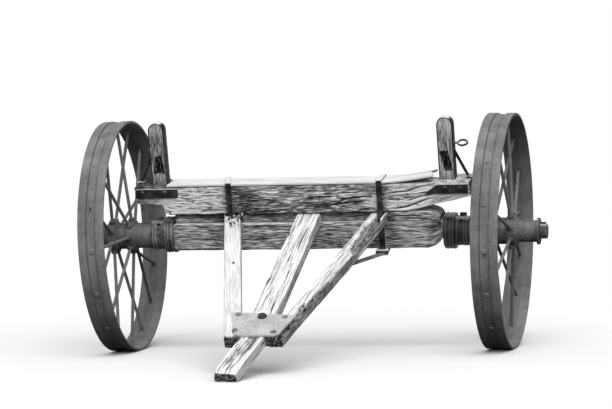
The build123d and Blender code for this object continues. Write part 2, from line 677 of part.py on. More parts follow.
# Wheels, with the skeins that carry them
for name, side in SIDES:
    wheel = hub_plane(side)
    outline = profile_plane(wheel)
    hub_axis = Axis(wheel.origin, wheel.z_dir)
    up = Vector(side * sin(radians(CAMBER)), 0, cos(radians(CAMBER)))

    with BuildPart() as skein:
        with BuildSketch(outline):
            with BuildLine():
                shoulder_s = -HUB_INNER_END - HUB_END_PLAY
                tip_s = HUB_OUTER_END + HUB_END_PLAY
                ring_s = shoulder_s - COLLAR_WIDTH
                Polyline(
                    (0, -SKEIN_BACK - SEAT_ALLOWANCE),
                    (RING_DIA / 2, -SKEIN_BACK - SEAT_ALLOWANCE),
                    (RING_DIA / 2, ring_s),
                    (COLLAR_DIA / 2, ring_s),
                    (COLLAR_DIA / 2, shoulder_s),
                    (arm_radius(shoulder_s), shoulder_s),
                    (arm_radius(tip_s), tip_s),
                    (0, tip_s),
                    close=True,
                )
            make_face()
        revolve(axis=hub_axis)
        # Oil lug on top of the collar
        lug_origin = wheel.origin + wheel.z_dir * (shoulder_s - COLLAR_WIDTH / 2)
        with BuildSketch(Plane(origin=lug_origin, z_dir=up)):
            Circle(OIL_LUG_DIA / 2)
        extrude(amount=COLLAR_DIA / 2 + OIL_LUG_HIGH)
        add(axle_beam.part, mode=Mode.SUBTRACT)
    save(skein, f"skein_{name}")

    with BuildPart() as axle_nut:
        with BuildSketch(wheel.offset(tip_s)):
            Circle(NUT_DIA / 2)
        extrude(amount=NUT_LENGTH)
        chamfer(axle_nut.edges().sort_by(hub_axis)[-1], NUT_CHAMFER)
        with BuildSketch(wheel.offset(tip_s)):
            with Locations((0, -side * NUT_DIA / 2)):
                Rectangle(NUT_LUG_WIDTH, 2 * NUT_LUG_HIGH)
        extrude(amount=NUT_LENGTH - 2 * NUT_CHAMFER)
    save(axle_nut, f"axle_nut_{name}")

    # Hub: waisted between two bosses that hold the rows of spokes
    row_s = ROW_SPACING / 2
    boss_in = row_s - ROW_BOSS_WIDTH / 2
    boss_out = row_s + ROW_BOSS_WIDTH / 2
    with BuildPart() as hub:
        with BuildSketch(outline):
            with BuildLine():
                Polyline(
                    (arm_radius(-HUB_INNER_END) + HUB_PLAY, -HUB_INNER_END),
                    (HUB_INNER_DIA / 2, -HUB_INNER_END),
                    (HUB_INNER_DIA / 2, -boss_out - BOSS_SIDE_WIDTH),
                    (ROW_BOSS_DIA / 2, -boss_out),
                    (ROW_BOSS_DIA / 2, -boss_in),
                    (HUB_WAIST_DIA / 2, -boss_in + BOSS_SIDE_WIDTH),
                    (HUB_WAIST_DIA / 2, boss_in - BOSS_SIDE_WIDTH),
                    (ROW_BOSS_DIA / 2, boss_in),
                    (ROW_BOSS_DIA / 2, boss_out),
                    (HUB_OUTER_DIA / 2, boss_out + BARREL_SIDE_WIDTH),
                    (HUB_OUTER_DIA / 2, HUB_OUTER_END - HUB_CAP_WIDTH),
                    (HUB_CAP_DIA / 2, HUB_OUTER_END - HUB_CAP_WIDTH),
                    (HUB_CAP_DIA / 2, HUB_OUTER_END),
                    (arm_radius(HUB_OUTER_END) + HUB_PLAY, HUB_OUTER_END),
                    close=True,
                )
            make_face()
        revolve(axis=hub_axis)
    save(hub, f"hub_{name}")

    # Tyre: rolled flat with a groove round its middle, which is a rib on its inside
    groove_floor = WHEEL_R - GROOVE_DEPTH
    with BuildPart() as tyre:
        with BuildSketch(outline):
            with BuildLine():
                edge = TYRE_WIDTH / 2
                brow = GROOVE_WIDTH / 2
                floor = brow - GROOVE_SIDE_WIDTH
                Polyline(
                    (WHEEL_R, -edge),
                    (WHEEL_R, -brow),
                    (groove_floor, -floor),
                    (groove_floor, floor),
                    (WHEEL_R, brow),
                    (WHEEL_R, edge),
                    (WHEEL_R - TYRE_THICK, edge),
                    (WHEEL_R - TYRE_THICK, brow),
                    (groove_floor - TYRE_THICK, floor),
                    (groove_floor - TYRE_THICK, -floor),
                    (WHEEL_R - TYRE_THICK, -brow),
                    (WHEEL_R - TYRE_THICK, -edge),
                    close=True,
                )
            make_face()
        revolve(axis=hub_axis)
        rod_planes = {}
        head_planes = {}
        for row_name, row in (("inner", -1), ("outer", 1)):
            rod_planes[row_name] = []
            head_planes[row_name] = []
            for step in range(SPOKES_PER_ROW):
                turn = step + (0.5 if row > 0 else 0)
                angle = radians(side * (SPOKE_PHASES[name] + turn * 360 / SPOKES_PER_ROW))
                radial = wheel.x_dir * cos(angle) + wheel.y_dir * sin(angle)
                root_radius = ROW_BOSS_DIA / 2 - SPOKE_ROOT
                root = wheel.origin + radial * root_radius + wheel.z_dir * (row * row_s)
                seat = wheel.origin + radial * groove_floor
                rod_plane, rod_length = between(root, seat)
                rod_planes[row_name].append(rod_plane)
                head_planes[row_name].append(Plane(origin=seat, z_dir=radial))
        with BuildSketch(*rod_planes["inner"], *rod_planes["outer"]):
            Circle(SPOKE_DIA / 2 + SPOKE_HOLE_PLAY)
        extrude(amount=rod_length + TYRE_THICK, mode=Mode.SUBTRACT)
    save(tyre, f"tyre_{name}")

    # Spokes: cast into the hub, through the tyre and headed in its groove
    for row_name in rod_planes:
        with BuildPart() as spokes:
            with BuildSketch(*rod_planes[row_name]):
                Circle(SPOKE_DIA / 2)
            extrude(amount=rod_length + SPOKE_HEAD_HIGH / 2)
            with BuildSketch(*head_planes[row_name]):
                Circle(SPOKE_HEAD_DIA / 2)
            extrude(amount=SPOKE_HEAD_HIGH, taper=SPOKE_HEAD_TAPER)
            add(hub.part, mode=Mode.SUBTRACT)
        save(spokes, f"spokes_{row_name}_{name}")
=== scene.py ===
"""Dressed scene of the farm wagon's rear axle gear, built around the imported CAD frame.

Timbers are reworked as weathered boards with checks and worn corners. The ironwork keeps
its CAD shape and gets its finish and its small fasteners here. Metres, +Z up, -Y front.
"""

import json
import random
from math import cos, exp, radians, sin, sqrt

import bmesh
import bpy
from mathutils import Matrix, Vector, noise


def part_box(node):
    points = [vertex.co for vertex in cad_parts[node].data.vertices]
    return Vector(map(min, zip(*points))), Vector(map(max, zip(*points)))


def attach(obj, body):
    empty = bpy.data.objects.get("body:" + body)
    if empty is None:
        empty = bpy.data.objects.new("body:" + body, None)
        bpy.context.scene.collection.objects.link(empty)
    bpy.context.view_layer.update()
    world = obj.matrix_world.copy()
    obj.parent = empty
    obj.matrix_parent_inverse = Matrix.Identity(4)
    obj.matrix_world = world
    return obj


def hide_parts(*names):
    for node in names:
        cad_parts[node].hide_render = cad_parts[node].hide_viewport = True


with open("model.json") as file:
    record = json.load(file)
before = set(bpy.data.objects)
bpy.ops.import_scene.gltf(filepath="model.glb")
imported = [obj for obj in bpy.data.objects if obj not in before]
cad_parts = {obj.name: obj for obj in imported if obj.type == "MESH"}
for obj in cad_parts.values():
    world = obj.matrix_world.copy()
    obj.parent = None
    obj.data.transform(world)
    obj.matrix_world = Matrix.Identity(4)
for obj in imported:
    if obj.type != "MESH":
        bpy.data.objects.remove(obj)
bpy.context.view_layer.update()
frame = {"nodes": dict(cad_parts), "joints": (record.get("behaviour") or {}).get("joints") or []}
NODES = frame["nodes"]
SIDES = (("left", -1), ("right", 1))

# Where the photograph was taken from: in front, a little to the right
LENS = 176.47
AZIMUTH = radians(12.88)
ELEVATION = radians(2.34)
ROLL = radians(1.45)
DISTANCE = 11.144

# The leaning gear: x along it, v back across it and w up it, from the line of the hubs
GEAR_LEAN = radians(12.6)
UP = Vector((0, -sin(GEAR_LEAN), cos(GEAR_LEAN)))
BACK = Vector((0, UP.z, -UP.y))
RIGHT = Vector((1, 0, 0))
HUBS = {joint["child"].split("_")[1]: joint for joint in frame["joints"]}
LINE = Vector((0, *HUBS["left"]["pos_m"][1:]))
LOOK_AT = Vector((-0.0148, LINE.y, 0.5408))

# Beams
FACE = 0.066  # half the depth of the beams
AXLE_BOTTOM = -0.044
AXLE_TOP = 0.060
AXLE_MIDDLE = (AXLE_BOTTOM + AXLE_TOP) / 2
AXLE_HALF = (AXLE_TOP - AXLE_BOTTOM) / 2
AXLE_ENDS = [corner[0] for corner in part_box("axle_beam")]
AXLE_TAPER_LONG = 0.012
AXLE_TAPER_DEEP = 0.010
RISER_FACE = 0.044  # half the depth of the blocks between the beams
RISER_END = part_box("riser_blocks")[1][0]
BOLSTER_BASE = 0.096
BOLSTER_TOP = 0.204
BOLSTER_X = -0.0125
BOLSTER_HALF = 0.634
BOLSTER_LEFT = BOLSTER_X - BOLSTER_HALF
BOLSTER_RIGHT = BOLSTER_X + BOLSTER_HALF
CLIP_X = 0.284
CLIP_BACK_X = {"left": -0.316, "right": 0.277}
CLIP_THICK = 0.005
CLIP_BAR = 0.010  # thickness of the bars under the axle
END_PLATE_GAP = 0.008  # from the bolster's end in to the plates
END_PLATE_THICK = 0.006
END_BOLTS_INWARD = {"left": (0.026, 0.112), "right": (0.026, 0.084)}

# Stakes
STAKE_FROM_MIDDLE = 0.5445
STAKE_X = {"left": BOLSTER_X - STAKE_FROM_MIDDLE, "right": BOLSTER_X + STAKE_FROM_MIDDLE}
STAKE_HALF = 0.026
STAKE_DEEP = 0.023
STAKE_TOP = BOLSTER_TOP + 0.228
STAKE_SOCKET = 0.056  # how deep the stakes are let into the bolster
BAND = 0.004  # thickness of the stakes' iron bands
BRACE_REACH = 0.048  # from the band out to the middle of the brace's foot
BRACE_FOOT_THICK = 0.005
RECESS_DEEP = 0.014
RECESS_HEAD = 0.103  # above the bolster
# How far the painted shade reaches past a recess's edges
RECESS_SHADE_LIP = 0.0038
# Recess of each side: foot above the bolster, middle there, slant, half width there, flare
RECESSES = {-1: (0.045, 0.002, 0.0, 0.0180, -0.17), 1: (0.034, 0.00684, -0.19, 0.0115, 0.0)}

# Slab that split off the bolster: it leans forward less than the gear does
SLAB_LEAN = radians(8)
SLAB_FALL = 0.0805  # of its top from front to back, against the gear's own
SLAB_PROUD = 0.0023
SLAB_THICK = 0.008
SLAB_HALF = 0.0662
SLAB_LIFT = 0.022
SLAB_CURL = 0.16  # slope of its free end
CURL_FROM = 0.300
SLAB_LEFT = -0.527
SLAB_RIGHT = 0.490
NICK_X = 0.133
BED_RIGHT = 0.502  # end of the slab's bed in the bolster
BED_GAP = 0.0005
SLAB_BACK = Vector((0, cos(SLAB_LEAN), sin(SLAB_LEAN)))
OFF_SLAB = Vector((0, -sin(SLAB_LEAN), cos(SLAB_LEAN)))
SLAB_FROM = LINE + UP * (BOLSTER_TOP + SLAB_PROUD)

# The slope that the hounds and the reach share, from the axle's front face
SLOPE = radians(23.2)
BOARDS_TOP = 0.090
DOWN_SLOPE = Vector((0, -cos(SLOPE), -sin(SLOPE)))
OFF_BOARDS = Vector((0, -sin(SLOPE), cos(SLOPE)))
BOARDS_FROM = LINE - BACK * FACE + UP * BOARDS_TOP
BOARD_THICK = 0.040
BOARD_GAP = 0.0004  # between boards that lie side by side
TAIL = -0.1282  # back end of the hounds and the reach
TAIL_PLAY = 0.0003  # over and under the tails, between the axle and the bolster
REACH_X = 0.012
REACH_HALF = 0.045
REACH_BREAK = 0.841
HOUND_X = 0.277  # where each hound meets the axle
HOUND_END = 0.956
HOUND_HALF = 0.0314
HOUND_LEVEL_HALF = 0.031  # half its width along the axle
HOUND_PLAY = 0.0015
PIN_RUN = 0.817
STUB_YAW = radians(9.4)
STUB_X = REACH_X + 0.013
STUB_HALF = 0.042
STUB_FROM = 0.0339
STUB_LONG = 0.3977
PLATE_THICK = 0.007
IRON_RUN = 0.335  # where each hound iron is bolted to its hound
IRON_THICK = 0.007

# Wheels
CAMBER = radians(1.3)
SPOKES = 16
SPOKE_PHASES = {"left": 4.6, "right": 6.8}
SPOKE_ROW = 0.035  # from the wheel's middle plane to each row of spokes
SPOKE_ROOT_R = 0.052
SPOKE_TIP_R = 0.427
GROOVE_EDGE = 0.0165  # from the wheel's middle plane to the edges of the tyre's groove
TYRE_OUTSIDE_R = 0.425  # the tyre's outside is further from the hub than this
TYRE_INSIDE_R = 0.4225  # its inside is nearer than this
TYRE_NEAR_R = 0.390  # and no part of it is nearer than this

# Skeins: each bead's way inward from the wheel's middle, its radius and half its thickness
SKEIN_BEADS = ((0.128, 0.0540, 0.0018), (0.138, 0.0540, 0.0022), (0.163, 0.0540, 0.0020),
               (0.177, 0.0660, 0.0022), (0.187, 0.0660, 0.0016), (0.2025, 0.0660, 0.0026))
BEAD_SIDES = 8
OIL_HOLE_INWARD = 0.147
OIL_HOLE_R = 0.0545  # from the skein's line
OIL_HOLE_RISE = radians(47)

# Heads and nuts: radius, height and number of sides
PLATE_BOLT = (0.0105, 0.0055, 16)
PLATE_NUT = (0.013, 0.010, 6)
END_BOLT = (0.0085, 0.005, 16)
BAND_NAIL = (0.0055, 0.0030, 16)
FOOT_NUT = (0.0058, 0.0045, 6)
BRACE_NUT = (0.007, 0.006, 6)
CLIP_NUT = (0.017, 0.009, 4)
IRON_NUT = (0.009, 0.007, 6)
OIL_HOLE = (0.0062, 0.0022, 16)
SPOKE_BOSS = (0.0125, 0.013, 12)
HEAD_SUNK = 0.0008

# Timber's finish
GRAIN_SPREAD = 0.055  # of the noise, from the middle grey to the deep and the pale
# Checks are painted darker the deeper they are: painted shade in the cracks
DARK_DEPTH = 0.007  # a check this deep is as dark as it gets

# Greys as they show on screen, 0 to 1
# Painted shade in checks and fine splits
CRACK_SHADE = 0.12
# Real stains and painted shade on the timbers
STAIN_AND_SHADE = 0.07
# Dust, and painted light from above, on iron faces that look up
DUST_AND_TOP_LIGHT = 0.88
# Painted shade along the edges of the tyres' grooves
GROOVE_SHADE = 0.16
RIM_SHADE = 0.20
FLOOR_SEEN = 0.985
FLOOR_BOUNCE = 0.12

# Soft light on the object: of the surroundings at the horizon and overhead, and one light
SKY_LOW = 0.10
SKY_HIGH = 0.62
LIGHT_STRENGTH = 2.70
LIGHT_SPREAD = radians(60)
LIGHT_LEAN = radians(48)  # from overhead towards the front
LIGHT_TURN = radians(20)  # to the right

TINY = 1e-6
TURNED = 0.7  # a face looks up, or sideways, when its normal does by this much


def gear(x, v, w):
    """Place of a point of the leaning gear."""
    return LINE + RIGHT * x + BACK * v + UP * w


def boards(x, run, lift):
    """Place of a point of the sloping boards: run down the slope and lift off their top."""
    return BOARDS_FROM + RIGHT * x + DOWN_SLOPE * run + OFF_BOARDS * lift


def to_gear(place):
    """The gear's own x, v and w of a place."""
    arm = place - LINE
    return arm.x, arm.dot(BACK), arm.dot(UP)


def ramp(value, *stops):
    """Height at value of a line through (value, height) stops, level beyond its ends."""
    if value <= stops[0][0]:
        return stops[0][1]
    for (low, start), (high, end) in zip(stops, stops[1:]):
        if value <= high:
            return start + (end - start) * (value - low) / (high - low)
    return stops[-1][1]


def smooth(edge, full, value):
    """0 at edge and 1 at full, with a soft start and end."""
    share = min(1, max(0, (value - edge) / (full - edge)))
    return share * share * (3 - 2 * share)


def drift(a, b, c):
    """Smooth noise, from about -1 to 1."""
    return noise.noise(Vector((a, b, c)))


def patches(a, b, *spots):
    """Sum of soft patches: (strength, middle a, middle b, half a, half b)."""
    return sum(strength * exp(-((a - mid_a) / half_a) ** 2 - ((b - mid_b) / half_b) ** 2)
               for strength, mid_a, mid_b, half_a, half_b in spots)


def flecks(x, z, seed):
    """Short pale ridges along the grain, from 0 to about 1."""
    return max(0, 1.6 * drift(x * 24, z * 170, seed))


def in_scene(name, data):
    """Object made from its data and put in the scene."""
    made = bpy.data.objects.new(name, data)
    bpy.context.scene.collection.objects.link(made)
    return made


def made_of(name, mesh, material):
    """Object from a mesh, in its material."""
    data = bpy.data.meshes.new(name)
    mesh.to_mesh(data)
    mesh.free()
    data.materials.append(material)
    return in_scene(name, data)


def photograph_camera():
    """Camera at the photograph's viewing angle, with its slight roll."""
    data = bpy.data.cameras.new("photograph_camera")
    data.lens = LENS
    data.sensor_width = 36
    data.clip_end = 100
    turn = (Matrix.Rotation(AZIMUTH, 3, "Z") @ Matrix.Rotation(radians(90) - ELEVATION, 3, "X")
            @ Matrix.Rotation(-ROLL, 3, "Z"))
    camera = in_scene("photograph_camera", data)
    camera.matrix_world = Matrix.LocRotScale(LOOK_AT + turn.col[2] * DISTANCE, turn, None)
    bpy.context.scene.camera = camera


class Finish:
    """A material or world being mixed: each call adds a node and returns its output."""

    def __init__(self, mixed):
        self.mixed = mixed
        mixed.use_nodes = True
        self.tree = mixed.node_tree
        self.shader = self.tree.nodes.get("Principled BSDF")

    def node(self, kind, inputs=None, **settings):
        made = self.tree.nodes.new("ShaderNode" + kind)
        for key, value in settings.items():
            setattr(made, key, value)
        for key, value in (inputs or {}).items():
            self.feed(made.inputs[key], value)
        return made

    def feed(self, socket, value):
        if isinstance(value, bpy.types.NodeSocket):
            self.tree.links.new(value, socket)
        else:
            socket.default_value = value

    def place(self, centre=(0, 0, 0), turn=(0, 0, 0)):
        """Object coordinates, centred and turned."""
        coords = self.node("TexCoord").outputs["Object"]
        moved = self.node("VectorMath", {0: coords, 1: tuple(-c for c in centre)})
        return self.node("Mapping", {"Vector": moved.outputs[0], "Rotation": turn}).outputs[0]

    def held(self, name, output="Fac"):
        """Value that the mesh holds at each vertex."""
        return self.node("Attribute", attribute_name=name).outputs[output]

    def scaled(self, vector, scale, shift=(0, 0, 0)):
        made = self.node("Mapping", {"Vector": vector, "Scale": scale, "Location": shift})
        return made.outputs[0]

    def mottle(self, vector, scale=1.0, detail=4.0, rough=0.55):
        """Noise from 0 to 1."""
        return self.node("TexNoise", {"Vector": vector, "Scale": scale, "Detail": detail,
                                      "Roughness": rough}).outputs["Fac"]

    def maths(self, kind, first, second=0.0, clamp=False):
        made = self.node("Math", {0: first, 1: second}, operation=kind)
        made.use_clamp = clamp
        return made.outputs[0]

    def weighted(self, *parts):
        """Sum of values, each times its weight."""
        shares = [self.maths("MULTIPLY", value, weight) for value, weight in parts]
        total = shares[0]
        for share in shares[1:]:
            total = self.maths("ADD", total, share)
        return total

    def band(self, value, low, high, start=0.0, end=1.0):
        """Value from start to end as the input goes from low to high."""
        return self.node("MapRange", {"Value": value, "From Min": low, "From Max": high,
                                      "To Min": start, "To Max": end}).outputs["Result"]

    def shades(self, value, *stops):
        """Greys at stops from 0 to 1, as (stop, tone)."""
        made = self.node("ValToRGB", {"Fac": value})
        elements = made.color_ramp.elements
        while len(elements) < len(stops):
            elements.new(0.5)
        for element, (stop, tone) in zip(elements, stops):
            element.position = stop
            element.color = grey(tone)
        return made.outputs["Color"]

    def mix(self, share, first, second):
        made = self.node("MixRGB", {"Fac": share, "Color1": first, "Color2": second})
        return made.outputs["Color"]

    def bump(self, height, depth, strength=1.0):
        made = self.node("Bump", {"Height": height, "Distance": depth, "Strength": strength})
        self.feed(self.shader.inputs["Normal"], made.outputs["Normal"])

    def end(self, colour, roughness, shine):
        """Feeds the shader, and gives the finished material."""
        self.feed(self.shader.inputs["Base Color"], colour)
        self.feed(self.shader.inputs["Roughness"], roughness)
        self.feed(self.shader.inputs["Specular IOR Level"], shine)
        return self.mixed


def grey(tone):
    """Neutral colour whose tone is as it shows on screen, 0 to 1."""
    value = tone / 12.92 if tone < 0.04 else ((tone + 0.055) / 1.055) ** 2.4
    return (value, value, value, 1)


def weathered_timber(name, deep, mid, pale, seed, length, width=0.0055, splits=0.6,
                     spacing=0.014, run=0.16, patchy=0.18, broad=0.22):
    """Grey weathered wood: fibres, streaks and fine splits along the mesh's own grain.

    Fibres are length long and width wide. Streaks are coarser, and patchy and broad are
    the shares of patches and streaks. Splits lie spacing apart and run that far.
    """
    finish = Finish(bpy.data.materials.new(name))
    grain = finish.held("grain", "Vector")
    fine = (1 / length, 1 / width, 1 / width)
    coarse = tuple(0.3 * count for count in fine)
    fibres = finish.mottle(finish.scaled(grain, fine, (seed, 0, 0)), detail=3.0, rough=0.62)
    streaks = finish.mottle(finish.scaled(grain, coarse, (seed, 4, 0)), rough=0.6)
    blots = finish.mottle(finish.scaled(grain, (9, 26, 26), (seed, 0, 7)), rough=0.6)
    blend = finish.weighted((fibres, 1 - broad - patchy), (streaks, broad), (blots, patchy))
    paler = finish.maths("MULTIPLY", finish.maths("SUBTRACT", finish.held("tone"), 0.5), 0.30)
    colour = finish.shades(finish.maths("ADD", blend, paler), (0.5 - GRAIN_SPREAD, deep),
                           (0.5, mid), (0.5 + GRAIN_SPREAD, pale))
    long_lines = finish.scaled(grain, (1 / run, 1 / spacing, 1 / spacing), (seed, 1, 2))
    wander = finish.mottle(long_lines, detail=1.5, rough=0.45)
    apart = finish.maths("ABSOLUTE", finish.maths("SUBTRACT", wander, 0.5))
    line = finish.band(apart, 0.006, 0.026, 1.0, 0.0)
    where = finish.band(blots, 0.40, 0.54, 0.2, 1.0)
    thin = finish.maths("MULTIPLY", finish.maths("MULTIPLY", line, where), splits)
    # Checks and fine splits are painted dark: painted shade in the cracks
    gap = finish.maths("MAXIMUM", thin, finish.held("check"), True)
    crack_shaded = finish.mix(gap, colour, grey(CRACK_SHADE))
    rings = finish.node("TexWave", {"Vector": grain, "Scale": 90.0, "Distortion": 3.0,
                                    "Detail": 3.0, "Detail Scale": 2.0},
                        wave_type="RINGS", rings_direction="X").outputs["Fac"]
    end_grain = finish.shades(rings, (0.0, deep * 0.5), (0.45, deep * 0.9), (1.0, mid * 0.8))
    ended = finish.mix(finish.held("end"), crack_shaded, end_grain)
    # Real stains, and painted shade where a piece's look puts it, darken towards near black
    stained_and_shaded = finish.maths("MULTIPLY", finish.held("stain_and_shade"),
                          finish.band(fibres, 0.36, 0.60, 1.35, 0.45), True)
    height = finish.maths("SUBTRACT", finish.maths("ADD", fibres, streaks),
                          finish.maths("MULTIPLY", thin, 1.2))
    finish.bump(height, 0.0016, 0.9)
    return finish.end(finish.mix(stained_and_shaded, ended, grey(STAIN_AND_SHADE)), roughness=0.9, shine=0.15)


def iron(name, deep, mid, pale, rough=0.78, grain=60.0, pit=0.0006, shine=0.1, dust_and_top_light=0.0):
    """Old rusted iron: mottled, pitted, paler where it looks up: dust and painted top light."""
    finish = Finish(bpy.data.materials.new(name))
    coords = finish.place()
    broad = finish.mottle(coords, grain * 0.35, 5.0, 0.6)
    fine = finish.mottle(coords, grain * 4, 4.0, 0.65)
    blend = finish.weighted((broad, 0.6), (fine, 0.4))
    colour = finish.shades(blend, (0.42, deep), (0.50, mid), (0.58, pale))
    # Upward faces turn pale: partly settled dust, partly painted light from above
    if dust_and_top_light:
        facing = finish.node("SeparateXYZ", {0: finish.node("NewGeometry").outputs["Normal"]})
        dusty_and_lit_tops = finish.band(facing.outputs["Z"], 0.72, 0.90, 0.0, dust_and_top_light)
        colour = finish.mix(dusty_and_lit_tops, colour, grey(DUST_AND_TOP_LIGHT))
    finish.bump(finish.maths("ADD", broad, fine), pit)
    return finish.end(colour, finish.band(fine, 0.3, 0.7, rough - 0.14, rough + 0.1), shine)


def groove_lines(finish, colour, coords):
    """Painted shade along the edges of a tyre's groove, and on the inside of its rim."""
    across = finish.node("SeparateXYZ", {0: coords}).outputs["X"]
    radius = finish.node("VectorMath", {0: finish.scaled(coords, (0, 1, 1))},
                         operation="LENGTH").outputs["Value"]
    # Painted shade of the groove's walls, darker at its left edge than at its right
    lines = [finish.band(finish.maths("ABSOLUTE", finish.maths("ADD", across, step)),
                         0.0014, 0.0032, share, 0.0)
             for step, share in ((GROOVE_EDGE, 0.55), (-GROOVE_EDGE, 0.22))]
    outer = finish.band(radius, TYRE_OUTSIDE_R, TYRE_OUTSIDE_R + 0.0008)
    line = finish.maths("MULTIPLY", finish.maths("ADD", *lines), outer)
    colour = finish.mix(line, colour, grey(GROOVE_SHADE))
    inside = finish.band(radius, TYRE_INSIDE_R - 0.002, TYRE_INSIDE_R, 0.18, 0.0)
    round_rim = finish.band(radius, TYRE_NEAR_R, TYRE_NEAR_R + 0.010)
    return finish.mix(finish.maths("MULTIPLY", inside, round_rim), colour, grey(RIM_SHADE))


def wheel_iron(name, side_name, side, deep, mid, pale, rim=False):
    """Rusted iron that turns with a wheel: mottled, and streaked round the hub's line."""
    finish = Finish(bpy.data.materials.new(name))
    coords = finish.place(tuple(HUBS[side_name]["pos_m"]), (0, -side * CAMBER, 0))
    round_it = finish.mottle(finish.scaled(coords, (170, 30, 30)), detail=3.0)
    broad = finish.mottle(coords, 13.0, 6.0, 0.62)
    fine = finish.mottle(coords, 260.0, 3.0, 0.6)
    blend = finish.weighted((round_it, 0.18), (broad, 0.42), (fine, 0.40))
    colour = finish.shades(blend, (0.40, deep), (0.50, mid), (0.60, pale))
    if rim:
        colour = groove_lines(finish, colour, coords)
    finish.bump(finish.maths("ADD", broad, fine), 0.0006)
    return finish.end(colour, finish.band(fine, 0.3, 0.7, 0.66, 0.90), shine=0.05)


def coat(material, *names, ease=0.0):
    """Gives CAD pieces a material, and eases their edges."""
    for name in names:
        piece = NODES[name]
        piece.data.materials.clear()
        piece.data.materials.append(material)
        if ease:
            weld = piece.modifiers.new("weld", "WELD")
            weld.merge_threshold = 0.00001
            bevel = piece.modifiers.new("eased_edges", "BEVEL")
            bevel.width = ease
            bevel.segments = 2
            bevel.limit_method = "ANGLE"
            bevel.angle_limit = radians(35)


def finished(name, mesh, body, material, replaced=None):
    """Piece from a mesh, its faces turned outwards, riding on its body."""
    bmesh.ops.recalc_face_normals(mesh, faces=mesh.faces)
    piece = made_of(name, mesh, material)
    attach(piece, body)
    if replaced:
        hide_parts(replaced)


def edge_round(distance, radius):
    """How far a face sinks this near to an edge that is worn to a radius."""
    if distance >= radius:
        return 0
    return radius - sqrt(radius * radius - (radius - distance) ** 2)


def rows_of_checks(seed, count, start, end, low, high, rise=0.0, lengths=(0.02, 0.09),
                   halves=(0.0015, 0.0030), depths=(0.002, 0.006)):
    """Seeded drying checks along the grain: (start, end, from, to, half width, depth)."""
    rng = random.Random(seed)
    made = []
    for _ in range(count):
        length = rng.uniform(*lengths)
        first = rng.uniform(start, end - length)
        level = rng.uniform(low, high)
        made.append((first, first + length, level, level + rise * length,
                     rng.uniform(*halves), rng.uniform(*depths)))
    return made


def check_depth(checks, along, across):
    """Depth of the deepest of a face's checks at a point of it."""
    depth = 0.0
    for start, stop, low, high, half, deep in checks:
        if start < along < stop:
            share = (along - start) / (stop - start)
            line = low + (high - low) * share + 0.003 * drift(along * 14, start * 70, 0)
            taper = min(1, 4 * share, 4 * (1 - share))
            near = 1 - abs(across - line) / max(TINY, half * taper)
            depth = max(depth, deep * taper * min(1, max(0, near) * 1.6))
    return depth


def cut_box(size, cells):
    """Box cut up into cells, and its middle."""
    spans = [high - low for low, high in size]
    middle = Vector([(high + low) / 2 for low, high in size])
    mesh = bmesh.new()
    bmesh.ops.create_cube(mesh, size=1)
    bmesh.ops.scale(mesh, vec=spans, verts=mesh.verts)
    bmesh.ops.translate(mesh, vec=middle, verts=mesh.verts)
    for axis in range(3):
        along = [e for e in mesh.edges
                 if abs((e.verts[0].co - e.verts[1].co)[axis]) > spans[axis] / 2]
        count = max(1, round(spans[axis] / cells[axis])) - 1
        if count:
            bmesh.ops.subdivide_edges(mesh, edges=along, cuts=count, use_grid_fill=True)
    mesh.normal_update()
    return mesh, middle


def timber(name, replaced, wood, size, cells, place, look, seed, wear=0.004,
           furrow=0.0009, fray=0.0, ends=0.002, flow=None, sides=(), tops=()):
    """Weathered board: a box along its grain, cut up finely, furrowed, checked and worn.
    """
    mesh, middle = cut_box(size, cells)
    rng = random.Random(seed)
    shift = Vector([rng.uniform(-50, 50) for _ in range(3)])
    grain = mesh.verts.layers.float_vector.new("grain")
    # Each vertex holds its grain, checks, tone, stains and painted shade, and whether it is end
    # grain
    check, tone, stain_and_shade, end = [mesh.verts.layers.float.new(kind)
                               for kind in ("check", "tone", "stain_and_shade", "end")]
    moved = []
    for vert in mesh.verts:
        co = vert.co
        from_x, from_y, from_z = [min(at - low, high - at)
                                  for at, (low, high) in zip(co, size)]
        at_end, edge_y, edge_z = from_x < TINY, from_y < TINY, from_z < TINY
        behind = edge_y and co.y > middle.y
        under = edge_z and co.z < middle.z
        q = co + shift
        ridge = drift(q.x * 20, q.y * 190, q.z * 190)
        swell = drift(q.x * 4, q.y * 24, q.z * 24)
        sink = furrow * (0.8 + 1.1 * ridge + 1.2 * max(0, 0.3 + swell))
        along = 2 * middle.x - co.x if behind or under else co.x
        depth = check_depth(sides, along, co.z) if edge_y else 0.0
        if edge_z:
            across = size[1][1] + size[1][0] - co.y if behind else co.y
            depth = max(depth, check_depth(tops, along, across))
        worn = drift(q.x * 13, q.y * 3, q.z * 3)
        chipped = max(0, drift(q.x * 34, q.y * 4, q.z * 4) - 0.15)
        radius = (wear(co) if callable(wear) else wear) * (1 + 0.6 * worn + 1.6 * chipped)
        if edge_y and edge_z:
            sink += 0.41 * radius
        elif edge_y or edge_z:
            sink += edge_round(from_z if edge_y else from_y, radius)
        step = Vector(vert.normal) * -(sink + depth)
        if at_end:
            fibre = drift(q.y * 120, q.z * 120, q.x)
            splinter = fray * max(0, 0.5 + fibre) + ends * (0.5 + 0.5 * fibre)
            step.x = splinter if co.x < middle.x else -splinter
        risen = flow(co) if flow else 0
        vert[grain] = (co.x, co.y - middle.y, co.z - middle.z - risen)
        vert[check] = min(1, depth / DARK_DEPTH)
        vert[tone], vert[stain_and_shade] = look(co, vert.normal)
        vert[end] = 1 if at_end and not (edge_y or edge_z) else 0
        moved.append(place(co + step))
    for vert, where in zip(mesh.verts, moved):
        vert.co = where
    for face in mesh.faces:
        face.smooth = True
    finished(name, mesh, "gear", wood, replaced)


